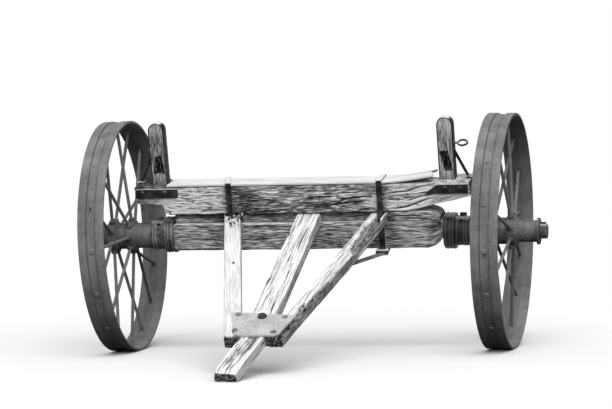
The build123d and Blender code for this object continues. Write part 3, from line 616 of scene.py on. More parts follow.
def axle_place(co):
    """The beam's rotted lower right corner and its tapered ends."""
    under = ramp(co.x, (0.452, AXLE_BOTTOM), (0.478, AXLE_BOTTOM + 0.007),
                 (0.499, AXLE_BOTTOM + 0.022), (0.5147, AXLE_BOTTOM + 0.048))
    w = AXLE_TOP - (AXLE_TOP - co.z) * (AXLE_TOP - under) / (AXLE_TOP - AXLE_BOTTOM)
    end = min(1, min(co.x - AXLE_ENDS[0], AXLE_ENDS[1] - co.x) / AXLE_TAPER_LONG)
    inset = AXLE_TAPER_DEEP * (1 - max(0, end))
    w += inset * (1 if co.z < 0 else -1) * abs(co.z - AXLE_MIDDLE) / AXLE_HALF
    return gear(co.x, co.y * (1 - inset / FACE), w)


def axle_look(co, normal):
    if normal.z > TURNED:
        tone = 0.66
    else:
        tone = ramp(co.x, (-0.50, 0.50), (-0.2, 0.46), (0.1, 0.42), (0.5, 0.54))
        tone += 0.10 * drift(co.x * 7, co.z * 45, 2) + 0.16 * flecks(co.x, co.z, 8)
        tone -= patches(co.x, co.z, (0.16, -0.16, 0.043, 0.08, 0.006))
        tone -= 0.10 * smooth(-0.020, AXLE_BOTTOM, co.z)
        pale_edge = 0.10 + patches(co.x, 0, (0.35, -0.14, 0, 0.08, 1))
        tone += pale_edge * smooth(0.050, 0.058, co.z)
    stain_and_shade_by_clip = patches(co.x, co.z, (0.9, 0.320, 0.012, 0.022, 0.06)) if co.x > 0.25 else 0
    knotty = max(0, 0.5 + 1.6 * drift(co.x * 45, co.z * 60, 5))
    stain_and_shade = stain_and_shade_by_clip + 0.35 * smooth(-0.036, AXLE_BOTTOM, co.z)
    return tone, min(1, stain_and_shade + knotty * smooth(0.440, 0.485, co.x))


def axle_wear(co):
    """The right end runs on into the block above it."""
    return 0.0015 if co.x > 0.35 and co.z > 0 else 0.006


def build_axle(wood):
    """Beam between the skeins."""
    sides = rows_of_checks(31, 70, -0.50, 0.50, -0.040, 0.054)
    sides += [(-0.232, -0.087, 0.043, 0.048, 0.0026, 0.007),
              (0.425, 0.497, 0.037, 0.032, 0.0030, 0.008)]
    timber("axle_timber", "axle_beam", wood,
           (AXLE_ENDS, (-FACE, FACE), (AXLE_BOTTOM, AXLE_TOP)),
           (0.008, 0.0045, 0.0026), axle_place, axle_look, seed=3,
           wear=axle_wear, furrow=0.0012, sides=sides,
           flow=lambda co: 0.012 * drift(co.x * 2.5, co.z * 8, 1))


def riser_place(co):
    """The right-hand block's end is worn round."""
    top = ramp(co.x, (RISER_END - 0.040, BOLSTER_BASE),
               (RISER_END - 0.012, BOLSTER_BASE - 0.010), (RISER_END, BOLSTER_BASE - 0.024))
    share = (co.z - AXLE_TOP) / (BOLSTER_BASE - AXLE_TOP)
    return gear(co.x, co.y, AXLE_TOP + share * (top - AXLE_TOP))


def riser_look(co, normal):
    if normal.z > TURNED:
        tone = 0.62
    else:
        tone = 0.47 if co.y < -0.05 else 0.40
        tone += 0.14 * flecks(co.x, co.z, 5) + 0.08 * drift(co.x * 9, co.z * 50, 6)
    # Painted shade at the outer blocks' inner ends, beside the gap where a hound passes
    stain_and_shade_by_clip = smooth(0.345, 0.330, abs(co.x)) * (abs(co.x) > 0.25)
    # Painted shadow along the blocks' tops, under the bolster's overhang
    shadow_under_bolster = 0.25 * smooth(BOLSTER_BASE - 0.010, BOLSTER_BASE, co.z) * (co.x < 0.34)
    return tone, max(stain_and_shade_by_clip, shadow_under_bolster)


def build_risers(wood):
    """Blocks that lift the bolster off the axle."""
    inner = HOUND_X - HOUND_LEVEL_HALF - HOUND_PLAY
    outer = HOUND_X + HOUND_LEVEL_HALF + HOUND_PLAY
    spans = ((-RISER_END, -outer, RISER_FACE), (-inner, REACH_X - REACH_HALF, RISER_FACE),
             (REACH_X + REACH_HALF, inner, RISER_FACE), (outer, RISER_END, FACE))
    for count, (start, stop, front) in enumerate(spans, 1):
        timber(f"riser_{count}", "riser_blocks", wood,
               ((start, stop), (-front, RISER_FACE), (AXLE_TOP, BOLSTER_BASE)),
               (0.008, 0.006, 0.0026), riser_place, riser_look, seed=40 + count,
               wear=lambda co: 0.001 if co.z < 0.078 else 0.005,
               sides=rows_of_checks(50 + count, 7, start, stop, 0.066, 0.090,
                                    lengths=(0.03, 0.09)))


def bolster_height(co):
    """Height in the gear of a point of the bolster's box: its underside rises at both ends."""
    base = ramp(co.x, (BOLSTER_LEFT, 0.139), (-0.541, 0.134), (-0.537, 0.113),
                (-0.530, 0.099), (-0.516, 0.094), (-0.465, BOLSTER_BASE),
                (0.384, BOLSTER_BASE), (0.480, 0.119), (0.562, 0.136), (BOLSTER_RIGHT, 0.150))
    under_slab = (smooth(SLAB_LEFT - 0.004, SLAB_LEFT, co.x)
                  * smooth(BED_RIGHT + 0.004, BED_RIGHT, co.x))
    bed = BOLSTER_TOP + SLAB_PROUD - SLAB_THICK - SLAB_FALL * co.y
    top = BOLSTER_TOP + (min(BOLSTER_TOP, bed) - BED_GAP - BOLSTER_TOP) * under_slab
    share = (co.z - BOLSTER_BASE) / (BOLSTER_TOP - BOLSTER_BASE)
    return base + share * (top - base)


def bolster_place(co):
    return gear(co.x, co.y, bolster_height(co))


def bolster_look(co, normal):
    if normal.z > TURNED:
        dark = smooth(SLAB_LEFT + 0.02, SLAB_LEFT, co.x)
        ragged = 0.7 + drift(co.x * 60, co.y * 60, 8)
        streak = 0.2 * drift(co.x * 12, co.y * 40, 3)
        return 0.62 - 0.2 * dark + streak, (0.75 + ragged * (co.x < -0.57)) * dark
    w = bolster_height(co)
    along_grain = w - 0.10 * co.x
    tone = ramp(co.x, (-0.62, 0.54), (-0.50, 0.72), (-0.33, 0.71), (-0.24, 0.42),
                (-0.16, 0.40), (-0.05, 0.45), (0.02, 0.40), (0.20, 0.42), (0.30, 0.60),
                (0.36, 0.80), (0.62, 0.84))
    tone += 0.22 * drift(co.x * 9, along_grain * 60, 4) + 0.20 * flecks(co.x, along_grain, 3)
    tone += patches(co.x, w, (-0.10, 0.10, 0.126, 0.12, 0.018),
                    (0.10, -0.09, 0.176, 0.09, 0.014))
    if co.x > 0.28:
        share = (co.z - BOLSTER_BASE) / (BOLSTER_TOP - BOLSTER_BASE)
        tone += 0.30 * smooth(0.28, 0.36, co.x) * smooth(0.22, 0.06, share)
        tone -= patches(share, 0, (0.14, 0.30, 0, 0.07, 1))
    stain_and_shade = patches(co.x, w, (1.2, -0.268, 0.150, 0.032, 0.12),
                    (1.2, -0.225, 0.172, 0.042, 0.020), (0.9, -0.212, 0.140, 0.052, 0.030),
                    (0.9, -0.215, 0.103, 0.075, 0.010), (0.9, 0.248, 0.168, 0.014, 0.014),
                    (0.9, 0.292, 0.150, 0.018, 0.12), (0.7, 0.285, 0.100, 0.060, 0.009),
                    (0.6, -0.600, 0.145, 0.045, 0.012))
    stain_and_shade += 0.5 * smooth(BOLSTER_BASE + 0.008, BOLSTER_BASE, w) * smooth(-0.46, -0.42, co.x)
    stain_and_shade += 0.8 * smooth(0.188, 0.198, w) * smooth(-0.45, -0.49, co.x)
    stain_and_shade += 0.9 * smooth(0.155, 0.175, w) * smooth(-0.565, -0.600, co.x)
    # Painted shade in the gap under the slab, along the top of the front face
    if SLAB_LEFT < co.x < 0.50 and co.y < 0:
        stain_and_shade += 0.9 * smooth(0.199, 0.202, w)
    return max(0.05, tone), min(1, stain_and_shade)


def build_bolster(wood):
    """Beam on top of the axle, with long checks that rise to the right."""
    sides = [(-0.015, 0.137, 0.149, 0.161, 0.0034, 0.010),
             (0.059, 0.255, 0.123, 0.140, 0.0042, 0.012),
             (0.100, 0.270, 0.146, 0.158, 0.0030, 0.009),
             (0.196, 0.264, 0.103, 0.110, 0.0040, 0.010),
             (0.320, 0.482, 0.103, 0.134, 0.0040, 0.011),
             (0.307, 0.368, 0.140, 0.146, 0.0032, 0.008),
             (0.378, 0.453, 0.135, 0.147, 0.0030, 0.008),
             (0.300, 0.430, 0.166, 0.176, 0.0028, 0.007),
             (-0.190, -0.100, 0.102, 0.102, 0.0030, 0.008)]
    sides += rows_of_checks(61, 60, -0.50, -0.28, 0.106, 0.190, lengths=(0.012, 0.045))
    sides += rows_of_checks(62, 70, -0.28, 0.24, 0.100, 0.186, 0.05, lengths=(0.02, 0.08))
    sides += rows_of_checks(63, 44, 0.24, 0.60, 0.130, 0.186, 0.13, lengths=(0.03, 0.10))
    timber("bolster_timber", "bolster", wood,
           ((BOLSTER_LEFT, BOLSTER_RIGHT), (-FACE, FACE), (BOLSTER_BASE, BOLSTER_TOP)),
           (0.0070, 0.0050, 0.0024), bolster_place, bolster_look, seed=6, wear=0.005,
           furrow=0.0015, fray=0.004, sides=sides,
           tops=rows_of_checks(64, 40, -0.63, 0.61, -0.06, 0.06),
           flow=lambda co: ramp(co.x, (-0.15, 0), (0.28, 0.026), (0.62, 0.077)))


def slab_place(co):
    """Slab off the bolster: its right end curls up, and is broken off jagged."""
    long = SLAB_RIGHT - CURL_FROM
    share = max(0, (co.x - CURL_FROM) / long)
    lift = SLAB_LIFT * share * share * (3 - 2 * share)
    lift += SLAB_CURL * long * share * share * (share - 1)
    lift += co.z - 0.0006 * abs(drift(co.x * 8, co.y * 6, 7))
    notch = ramp(co.y, (-0.066, 0.0), (-0.030, 0.004), (-0.006, 0.017), (0.020, 0.015),
                 (0.045, 0.002), (0.066, 0.006))
    ragged = 0.006 * (0.5 + 0.5 * drift(co.y * 60, 3, 1))
    x = (co.x - notch * smooth(0.430, SLAB_RIGHT, co.x)
         + ragged * smooth(SLAB_LEFT + 0.030, SLAB_LEFT, co.x))
    nick = 0.005 * exp(-((co.x - NICK_X) / 0.006) ** 2) * smooth(-0.056, -0.062, co.y)
    place = SLAB_FROM + RIGHT * x + SLAB_BACK * (co.y + nick) + OFF_SLAB * lift
    x, v, w = to_gear(place)
    return gear(x, max(-FACE, min(FACE, v)), w)


def slab_look(co, normal):
    tone = 0.51 + 0.03 * drift(co.x * 12, co.y * 20, 0)
    tone -= patches(co.x, co.y, (0.05, -0.48, 0.0, 0.03, 0.03))
    in_nick = patches(co.x, co.y, (0.5, NICK_X, -0.063, 0.005, 0.006))
    # Painted shade on the slab's underside and lower edges; darker also in the nick in its front
    return tone, 0.6 * smooth(-0.0060, -0.0080, co.z) + in_nick


def build_slab(wood):
    """Slab that has split off the bolster's top."""
    timber("split_slab", "bolster_slab", wood,
           ((SLAB_LEFT, SLAB_RIGHT), (-SLAB_HALF, SLAB_HALF), (-SLAB_THICK, 0)),
           (0.008, 0.0030, 0.0020), slab_place, slab_look, seed=9, wear=0.0010,
           furrow=0.0004, fray=0.005,
           tops=rows_of_checks(91, 14, -0.50, 0.48, -0.06, 0.06, halves=(0.0012, 0.002),
                               depths=(0.001, 0.0025)))


def tailed(place):
    """Keeps the tail of a board between the axle and the bolster."""
    x, v, w = to_gear(place)
    if v > -FACE:
        w = min(BOLSTER_BASE - TAIL_PLAY, max(AXLE_TOP + TAIL_PLAY, w))
        return gear(x, min(v, FACE - 0.006), w)
    return place


def reach_place(co):
    bow = 0.0016 * drift(co.x * 3, 0, 2)
    return tailed(boards(REACH_X + co.y + bow, co.x, co.z))


def reach_look(co, normal):
    if abs(normal.y) > TURNED:
        return 0.40 + 0.1 * drift(co.x * 12, co.z * 90, 0), 0
    tone = ramp(co.x, (-0.02, 0.58), (0.06, 0.72), (0.20, 0.74), (0.45, 0.66), (0.80, 0.58))
    tone += 0.02 * drift(co.x * 6, co.y * 40, 0)
    tone += 0.02 * smooth(0.0, 0.03, co.y) * smooth(0.045, 0.035, co.y)
    knot = patches(co.x, co.y, (0.8, 0.467, 0.021, 0.003, 0.003))
    return tone, 0.25 * smooth(0.03, -0.02, co.x) + knot


def build_reach(wood):
    """Middle board, with close parallel checks from end to end."""
    tops = rows_of_checks(71, 34, 0.02, 0.83, -0.040, 0.006, lengths=(0.08, 0.30),
                          halves=(0.0012, 0.0020), depths=(0.002, 0.0045))
    tops += rows_of_checks(72, 16, 0.02, 0.83, 0.006, 0.042, lengths=(0.06, 0.22),
                           halves=(0.0010, 0.0016), depths=(0.0015, 0.003))
    timber("reach_board", "reach", wood,
           ((TAIL, REACH_BREAK - 0.003), (-REACH_HALF, REACH_HALF), (-BOARD_THICK, 0)),
           (0.009, 0.0022, 0.0040), reach_place, reach_look, seed=12, wear=0.0035,
           furrow=0.0004, fray=0.010, tops=tops)


def stub_side(run, edge):
    """x of the stub's edge where it passes a run down the slope."""
    past = (run - PIN_RUN - edge * sin(STUB_YAW)) / cos(STUB_YAW)
    return STUB_X + edge * cos(STUB_YAW) - past * sin(STUB_YAW)


def stub_place(co):
    """Swung to the left about the pin, with its worn tip flat on the ground."""
    tip = smooth(0.355, STUB_LONG, co.x)
    ragged = drift(co.y * 60, co.z * 40, 8)
    run = co.x - tip * 0.016 * (0.45 + 0.55 * ragged)
    across = co.y * (1 - 0.05 * tip)
    drop = 0.007 * tip * (co.z + BOARD_THICK) / BOARD_THICK
    place = boards(STUB_X + across * cos(STUB_YAW) - run * sin(STUB_YAW),
                   PIN_RUN + across * sin(STUB_YAW) + run * cos(STUB_YAW), co.z - drop)
    place.z = max(place.z, 0.0006)
    return place


def stub_look(co, normal):
    if abs(normal.y) > TURNED:
        return 0.68 + 0.2 * drift(co.x * 12, co.z * 90, 0), 0
    tone = ramp(co.x, (0.13, 0.84), (0.20, 0.88), (0.35, 0.86), (0.385, 0.74))
    stain_and_shade = smooth(STUB_LONG - 0.006, STUB_LONG, co.x)
    return tone, max(0, min(1, stain_and_shade * (0.62 + 0.6 * drift(co.y * 90, co.z * 90, 4))))


def build_stub(wood):
    """Broken-off front of the reach."""
    timber("reach_stub_board", "reach_stub", wood,
           ((STUB_FROM, STUB_LONG), (-STUB_HALF, STUB_HALF), (-BOARD_THICK, 0)),
           (0.007, 0.0022, 0.0036), stub_place, stub_look, seed=14, furrow=0.0006,
           fray=0.010,
           tops=rows_of_checks(81, 30, 0.04, 0.395, -0.038, 0.036, lengths=(0.08, 0.24),
                               halves=(0.0014, 0.0026), depths=(0.004, 0.009)))


def rot(run, across):
    """How rotten the right hound is: its corner has gone in two long patches."""
    edge = across + 0.006 * drift(run * 40, 1, 5) + 0.004 * drift(run * 130, across * 60, 5)
    high = ramp(run, (0.045, 0.010), (0.075, -0.020), (0.17, -0.013), (0.24, -0.009),
                (0.29, -0.001), (0.33, 0.030))
    low = ramp(run, (0.50, 0.036), (0.53, 0.016), (0.58, 0.011), (0.66, 0.009),
               (0.71, -0.004), (0.80, -0.002), (0.96, -0.010))
    first = smooth(high, high + 0.006, edge) * (0.045 < run < 0.34)
    return max(first, smooth(low, low + 0.006, edge) * (run > 0.49))


def hound_middle(side, run):
    """x of the middle of a hound at a run down the slope."""
    front = REACH_X + side * (REACH_HALF + HOUND_LEVEL_HALF)
    return front + (side * HOUND_X - front) / HOUND_END * (HOUND_END - run)


def left_hound_place(co):
    """Board that spreads from the reach to the axle, trimmed against reach and stub."""
    x = min(hound_middle(-1, co.x) + co.y, REACH_X - REACH_HALF - BOARD_GAP)
    if co.x > REACH_BREAK:
        x = min(x, stub_side(co.x, -STUB_HALF) - 0.0006)
    return tailed(boards(x, co.x, co.z))


def right_hound_place(co):
    """The same on the right, with its outer corner and a gap at the axle rotted away."""
    x = max(hound_middle(1, co.x) + co.y, REACH_X + REACH_HALF + BOARD_GAP)
    rough = 0.5 + 0.5 * drift(co.x * 45, co.y * 130, 9)
    deep = rot(co.x, co.y) * (0.008 + 0.010 * rough)
    deep *= 1 - 0.5 * smooth(0.022, HOUND_HALF, co.y) * (co.x < 0.34)
    gap = smooth(0.050, 0.040, co.x) * smooth(-0.009, -0.005, co.y)
    deep = max(deep, 0.034 * gap * smooth(0.021, 0.016, co.y))
    x -= 0.012 * smooth(0.30, 0.95, co.x) * smooth(0.010, 0.031, co.y)
    return tailed(boards(x, co.x, co.z - deep * (co.z + BOARD_THICK) / BOARD_THICK))


def left_hound_look(co, normal):
    tone = ramp(co.x, (-0.02, 0.36), (0.06, 0.42), (0.11, 0.46), (0.9, 0.47))
    if abs(normal.y) > TURNED:
        tone -= 0.12
    stain_and_shade = 1.4 * smooth(0.15, -0.04, co.x) * (0.6 + 2.2 * drift(co.x * 40, co.y * 110, 0))
    stain_and_shade += patches(co.x, co.y, (2.5, 0.386, 0.004, 0.0052, 0.0048))
    # Painted shade over the last few centimetres to its front end
    return tone, max(0, stain_and_shade + 0.9 * smooth(HOUND_END - 0.016, HOUND_END - 0.004, co.x))


def right_hound_look(co, normal):
    # Its front end face is painted dark: painted shade under the plate
    if co.x > HOUND_END - 0.002:
        return 0.3, 0.85
    rough = drift(co.x * 50, co.y * 150, 3)
    # Its sides are painted dark: painted shade, less of it low down between runs 0.06 and 0.36
    if abs(normal.y) > TURNED:
        pale = (smooth(-0.008, -0.024, co.z) * smooth(0.06, 0.14, co.x)
                * smooth(0.36, 0.28, co.x))
        return (0.20 + 0.3 * drift(co.x * 16, co.z * 90, 3) + 0.3 * pale,
                0.40 + 0.4 * rough - 0.4 * pale)
    rotten = rot(co.x, co.y)
    tone = 0.56 - 0.05 * smooth(0.08, -0.02, co.x)
    tone += (0.20 + 0.16 * rough - tone) * rotten
    gap = (smooth(0.052, 0.042, co.x) * smooth(-0.010, -0.005, co.y)
           * smooth(0.022, 0.016, co.y))
    stain_and_shade = rotten * max(0, 0.72 + 0.9 * rough) + 0.9 * gap
    # Painted shade towards the front end, under the plate
    stain_and_shade += 0.9 * smooth(0.915, 0.940, co.x)
    return max(0.04, tone), max(0, min(1, stain_and_shade))


def build_hounds(smooth_wood, rough_wood):
    """Side boards: the left one bleached smooth, the right one rotten along its outer edge."""
    size = ((TAIL, HOUND_END), (-HOUND_HALF, HOUND_HALF), (-BOARD_THICK, 0))
    timber("hound_board_left", "hound_left", smooth_wood, size,
           (0.009, 0.0028, 0.0040), left_hound_place, left_hound_look, seed=16, wear=0.003,
           furrow=0.0003, fray=0.004,
           tops=[(0.02, 0.10, -0.004, -0.002, 0.0018, 0.003),
                 (0.00, 0.05, 0.012, 0.012, 0.0018, 0.003)])
    tops = rows_of_checks(97, 10, 0.02, 0.94, 0.002, 0.028, lengths=(0.06, 0.20),
                          halves=(0.0015, 0.003), depths=(0.003, 0.007))
    tops += rows_of_checks(98, 8, 0.02, 0.94, -0.026, 0.002, lengths=(0.06, 0.24),
                           halves=(0.001, 0.0016), depths=(0.0015, 0.003))
    timber("hound_board_right", "hound_right", rough_wood, size,
           (0.007, 0.0022, 0.0034), right_hound_place, right_hound_look, seed=18,
           wear=0.005, furrow=0.0006, fray=0.010, tops=tops)


def in_recess(side, w, x, lip=0.0):
    """How far inside the recess of a stake's front a point is: one slants, one flares."""
    foot, middle, slant, half, flare = RECESSES[side]
    up = w - BOLSTER_TOP
    middle += slant * (up - foot)
    half += flare * (up - foot) + lip
    low, high = foot - lip, RECESS_HEAD + lip
    return (smooth(half + 0.0015, half - 0.0010, abs(x - middle))
            * smooth(low - 0.001, low + 0.0015, up)
            * smooth(high + 0.001, high - 0.0015, up))


def stake_place(side, middle):
    """Upright with a round head and a recess in its front."""
    shoulder = STAKE_TOP - STAKE_HALF
    twice = 2 * STAKE_HALF ** 2

    def place(co):
        x, w = co.z, co.x
        over = w - shoulder
        if over > 0:
            x = co.z * sqrt(max(0, 1 - over * over / twice))
            w = shoulder + over * sqrt(max(0, 1 - co.z * co.z / twice))
        v = co.y
        if co.y < -STAKE_DEEP + 0.004:
            v += RECESS_DEEP * in_recess(side, co.x, co.z)
        return gear(middle + x, v, w)

    return place


def stake_look(side):
    """Painted shade inside its recess, and darker at its foot."""
    def look(co, normal):
        tone = 0.42 if side < 0 else 0.50
        tone += 0.20 * drift(co.x * 9, co.z * 130, side)
        tone += 0.12 * smooth(STAKE_TOP - 0.10, STAKE_TOP - 0.02, co.x)
        # Painted shade in the recess, reaching a little past its edges
        stain_and_shade = 1.5 * in_recess(side, co.x, co.z, RECESS_SHADE_LIP) if co.y < 0 else 0
        return max(0.1, tone), stain_and_shade + 0.45 * smooth(BOLSTER_TOP + 0.03, BOLSTER_TOP, co.x)

    return look


def build_stakes(wood):
    """Stakes let into the ends of the bolster."""
    for name, side in SIDES:
        timber(f"stake_timber_{name}", f"stake_{name}", wood,
               ((BOLSTER_TOP - STAKE_SOCKET, STAKE_TOP), (-STAKE_DEEP, STAKE_DEEP),
                (-STAKE_HALF, STAKE_HALF)),
               (0.0045, 0.0046, 0.0020), stake_place(side, STAKE_X[name]),
               stake_look(side), seed=20 + side, wear=0.0012, furrow=0.0008, ends=0.0005,
               sides=rows_of_checks(101 + side, 14, BOLSTER_TOP, STAKE_TOP - 0.02,
                                    -0.020, 0.020, lengths=(0.03, 0.12),
                                    halves=(0.0010, 0.0018)))


def add_head(mesh, place, outward, kind, domed, turn=0.0):
    """Bolt head, nut or boss on a spot of the object, added to a mesh."""
    radius, high, sides = kind
    stand = outward.to_track_quat("Z", "X").to_matrix().to_4x4()
    stand.translation = place + outward * (high / 2 - HEAD_SUNK)
    spun = Matrix.Rotation(turn, 4, "Z")
    made = bmesh.ops.create_cone(mesh, cap_ends=True, segments=sides, radius1=radius,
                                 radius2=radius * 0.96, depth=high, matrix=stand @ spun)
    around = set(made["verts"])
    top = [e for e in mesh.edges if e.verts[0] in around and e.verts[1] in around
           and min((v.co - place).dot(outward) for v in e.verts) > high * 0.6]
    bmesh.ops.bevel(mesh, geom=top, offset=high * domed, segments=3, profile=0.5,
                    affect="EDGES", material=-1)


def heads(name, material, spots):
    """One piece from several heads: (place, outward, kind)."""
    mesh = bmesh.new()
    for count, (place, outward, kind) in enumerate(spots):
        add_head(mesh, place, outward, kind, 0.5 if kind[2] > 8 else 0.18, 0.4 * count)
    finished(name, mesh, "gear", material)


def build_fasteners(dark, dull):
    """Bolts, nuts and nails of the gear: the hound plates' first, then each side's."""
    heads("hound_plate_bolts", dull,
          [(boards(x, run, PLATE_THICK), OFF_BOARDS, PLATE_BOLT)
           for x, run in ((-0.076, 0.799), (0.093, 0.821), (-0.064, 0.914), (0.076, 0.930))])
    heads("hound_plate_nuts", dark,
          [(boards(x, run, -BOARD_THICK - PLATE_THICK), -OFF_BOARDS, PLATE_NUT)
           for x, run in ((-0.076, 0.799), (0.093, 0.821), (-0.064, 0.908))])
    for name, side in SIDES:
        build_side_fasteners(name, side, dark)


def build_side_fasteners(name, side, dark):
    """Bolts, nuts and nails of one side: end plates, stake, clip and hound iron."""
    out = RIGHT * side
    end = BOLSTER_X + side * (BOLSTER_HALF - END_PLATE_GAP)
    heads(f"end_plate_bolts_{name}", dark,
          [(gear(end - side * inward, face * (FACE + END_PLATE_THICK), 0.181), BACK * face,
            END_BOLT) for inward in END_BOLTS_INWARD[name] for face in (-1, 1)])
    outer_x = STAKE_X[name] + side * (STAKE_HALF + BAND)
    inner_x = STAKE_X[name] - side * (STAKE_HALF + BAND)
    heads(f"band_nails_{name}", dark,
          [(gear(x, 0, BOLSTER_TOP + up), facing, BAND_NAIL)
           for x, facing in ((outer_x, out), (inner_x, -out))
           for up in (0.030, 0.085, 0.170)])
    foot_x = outer_x + side * BRACE_REACH
    heads(f"brace_bolts_{name}", dark,
          [(gear(foot_x, v, BOLSTER_TOP + BRACE_FOOT_THICK), UP, FOOT_NUT)
           for v in (-0.0085, 0.0085)]
          + [(gear(outer_x, -0.012, BOLSTER_TOP + 0.128), out, BRACE_NUT)])
    legs = ((side * CLIP_X, -FACE - CLIP_THICK / 2), (CLIP_BACK_X[name], FACE + CLIP_THICK / 2))
    heads(f"clip_nuts_{name}", dark,
          [(gear(x, v, AXLE_BOTTOM - CLIP_BAR), -UP, CLIP_NUT) for x, v in legs])
    iron_x = hound_middle(side, IRON_RUN)
    heads(f"hound_iron_bolts_{name}", dark,
          [(boards(iron_x, IRON_RUN + step, -BOARD_THICK - IRON_THICK), -OFF_BOARDS, IRON_NUT)
           for step in (-0.015, 0.015)])


def wheel_axes(name, side):
    """Middle of a wheel, and its directions outward along the hub, forward and across."""
    outward = Vector((side * cos(CAMBER), 0, -sin(CAMBER)))
    forward = Vector((0, -1, 0))
    return Vector(HUBS[name]["pos_m"]), outward, forward, outward.cross(forward)


def build_spoke_bosses(name, side, material):
    """Raised collars where the spokes are cast into the hub."""
    middle, outward, forward, across = wheel_axes(name, side)
    mesh = bmesh.new()
    for step in range(SPOKES):
        angle = radians(side * (SPOKE_PHASES[name] + step * 360 / SPOKES))
        row = -1 if step % 2 == 0 else 1
        radial = forward * cos(angle) + across * sin(angle)
        root = middle + radial * SPOKE_ROOT_R + outward * (row * SPOKE_ROW)
        lean = (middle + radial * SPOKE_TIP_R - root).normalized()
        add_head(mesh, root + lean * 0.004, lean, SPOKE_BOSS, 0.35)
    for face in mesh.faces:
        face.smooth = len(face.verts) < 5
    finished(f"spoke_bosses_{name}", mesh, f"wheel_{name}", material)


def build_skein_beads(name, side, material, dark):
    """Cast beads round the skein and its collar; its oil hole is a dark disc of painted shade.
    """
    middle, outward, forward, across = wheel_axes(name, side)
    mesh = bmesh.new()
    for inward, radius, bead in SKEIN_BEADS:
        centre = middle - outward * inward
        around = [radians(360 / BEAD_SIDES * k) for k in range(BEAD_SIDES)]
        ring = [mesh.verts.new(centre + forward * (radius + bead * cos(a))
                               + outward * bead * sin(a)) for a in around]
        edges = [mesh.edges.new((ring[k - 1], ring[k])) for k in range(BEAD_SIDES)]
        bmesh.ops.spin(mesh, geom=ring + edges, cent=centre, axis=outward, angle=radians(360),
                       steps=56, use_merge=True)
    bmesh.ops.remove_doubles(mesh, verts=mesh.verts, dist=0.00002)
    for face in mesh.faces:
        face.smooth = True
    finished(f"skein_beads_{name}", mesh, "gear", material)
    # The oil hole is a near-black disc on the collar: painted shade standing for the hollow
    rising = forward * cos(OIL_HOLE_RISE) + Vector((0, 0, 1)) * sin(OIL_HOLE_RISE)
    facing = rising.normalized()
    place = middle - outward * OIL_HOLE_INWARD + facing * OIL_HOLE_R
    heads(f"oil_hole_{name}", dark, [(place, facing, OIL_HOLE)])


def softlight():
    """Wide even light from above, leant towards the front and turned to the right."""
    data = bpy.data.lights.new("softbox", "SUN")
    data.energy = LIGHT_STRENGTH
    data.angle = LIGHT_SPREAD
    in_scene("softbox", data).rotation_euler = (LIGHT_LEAN, 0, LIGHT_TURN)


def surroundings():
    """White to the camera and in the gloss, and dimmer as light, brightest overhead."""
    world = bpy.data.worlds.new("studio")
    bpy.context.scene.world = world
    sky = Finish(world)
    sky.tree.nodes.clear()
    direction = sky.node("SeparateXYZ", {0: sky.node("TexCoord").outputs["Generated"]})
    strength = sky.band(direction.outputs["Z"], 0.0, 1.0, SKY_LOW, SKY_HIGH)
    seen = sky.node("Background", {"Color": (1, 1, 1, 1)})
    fill = sky.node("Background", {"Color": (1, 1, 1, 1), "Strength": strength})
    rays = sky.node("LightPath").outputs["Is Diffuse Ray"]
    both = sky.node("MixShader", {0: rays, 1: seen.outputs[0], 2: fill.outputs[0]})
    sky.node("OutputWorld", {"Surface": both.outputs[0]})


def floor():
    """Pale floor, darker in the light that it throws back."""
    mesh = bmesh.new()
    bmesh.ops.create_grid(mesh, x_segments=1, y_segments=1, size=60)
    paint = Finish(bpy.data.materials.new("floor"))
    rays = paint.node("LightPath").outputs["Is Diffuse Ray"]
    shade = paint.mix(rays, grey(FLOOR_SEEN), grey(FLOOR_BOUNCE))
    made_of("floor", mesh, paint.end(shade, roughness=1.0, shine=0.0))


def nodes_named(*starts):
    """Names of the CAD nodes that start with any of these."""
    return [name for name in NODES if name.startswith(starts)]


photograph_camera()
surroundings()
floor()
softlight()
dark_wood = weathered_timber("dark_weathered_timber", 0.36, 0.65, 0.88, seed=1.0,
                             length=0.036, width=0.0023, broad=0.14)
grey_wood = weathered_timber("grey_weathered_timber", 0.26, 0.74, 0.98, seed=4.0,
                             length=0.034, width=0.0022, splits=0.9, broad=0.14)
pale_wood = weathered_timber("bleached_timber", 0.82, 0.90, 0.94, seed=7.0,
                             length=0.10, width=0.007, splits=0.10, run=0.5)
lined_wood = weathered_timber("bleached_checked_timber", 0.68, 0.93, 0.97, seed=11.0,
                              length=0.14, width=0.0042, splits=1.0, spacing=0.011,
                              run=0.8, patchy=0.06, broad=0.08)
rotten_wood = weathered_timber("bleached_rotten_timber", 0.62, 0.90, 0.94, seed=15.0,
                               length=0.08, splits=0.5, run=0.5)
build_axle(dark_wood)
build_risers(dark_wood)
build_bolster(grey_wood)
build_slab(pale_wood)
build_reach(lined_wood)
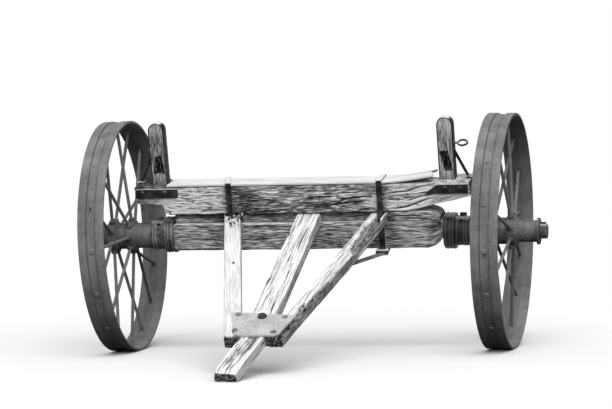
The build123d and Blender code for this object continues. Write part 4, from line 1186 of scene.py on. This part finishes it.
build_stub(lined_wood)
build_hounds(pale_wood, rotten_wood)
build_stakes(dark_wood)
strap = iron("rusted_strap_iron", 0.12, 0.19, 0.32, dust_and_top_light=1.0)
cast = iron("rusted_cast_iron", 0.22, 0.33, 0.47, dust_and_top_light=0.6)
black_cast = iron("blackened_cast_iron", 0.07, 0.13, 0.24, rough=0.45, shine=0.2, dust_and_top_light=0.6)
bead_iron = {"left": iron("worn_bead_iron", 0.42, 0.54, 0.66, dust_and_top_light=0.6),
             "right": iron("black_bead_iron", 0.20, 0.30, 0.42, rough=0.5, shine=0.5, dust_and_top_light=0.6)}
# Near-black iron for the oil holes: painted shade for their hollows
oil_hole_shade = iron("oil_hole_painted_shade", 0.05, 0.07, 0.10)
plate = iron("weathered_plate_iron", 0.66, 0.74, 0.80, rough=0.62, grain=25, pit=0.0002,
             shine=0.3)
bolt_iron = iron("dull_bolt_iron", 0.42, 0.52, 0.62)
coat(bolt_iron, *nodes_named("hound_iron"), ease=0.0008)
coat(strap, *nodes_named("end_plate", "clip", "hound_plate_bottom"), ease=0.0008)
coat(iron("dark_pin_iron", 0.14, 0.20, 0.30), "reach_pin", ease=0.0008)
coat(strap, *nodes_named("stake_band", "stake_brace", "stake_eye"))
coat(plate, "hound_plate_top", ease=0.0012)
coat(cast, "skein_left", "axle_nut_left", ease=0.0015)
coat(black_cast, "skein_right", ease=0.0015)
coat(cast, "axle_nut_right", ease=0.001)
for name, side in SIDES:
    rim = wheel_iron(f"rusted_tyre_{name}", name, side, 0.41, 0.50, 0.57, rim=True)
    hub = wheel_iron(f"rusted_hub_{name}", name, side, 0.27, 0.40, 0.53)
    coat(rim, f"tyre_{name}", ease=0.001)
    coat(rim, f"spokes_inner_{name}", f"spokes_outer_{name}")
    coat(hub, f"hub_{name}", ease=0.0015)
    build_spoke_bosses(name, side, hub)
    build_skein_beads(name, side, bead_iron[name], oil_hole_shade)
build_fasteners(strap, bolt_iron)
bpy.context.scene.view_settings.view_transform = "Standard"
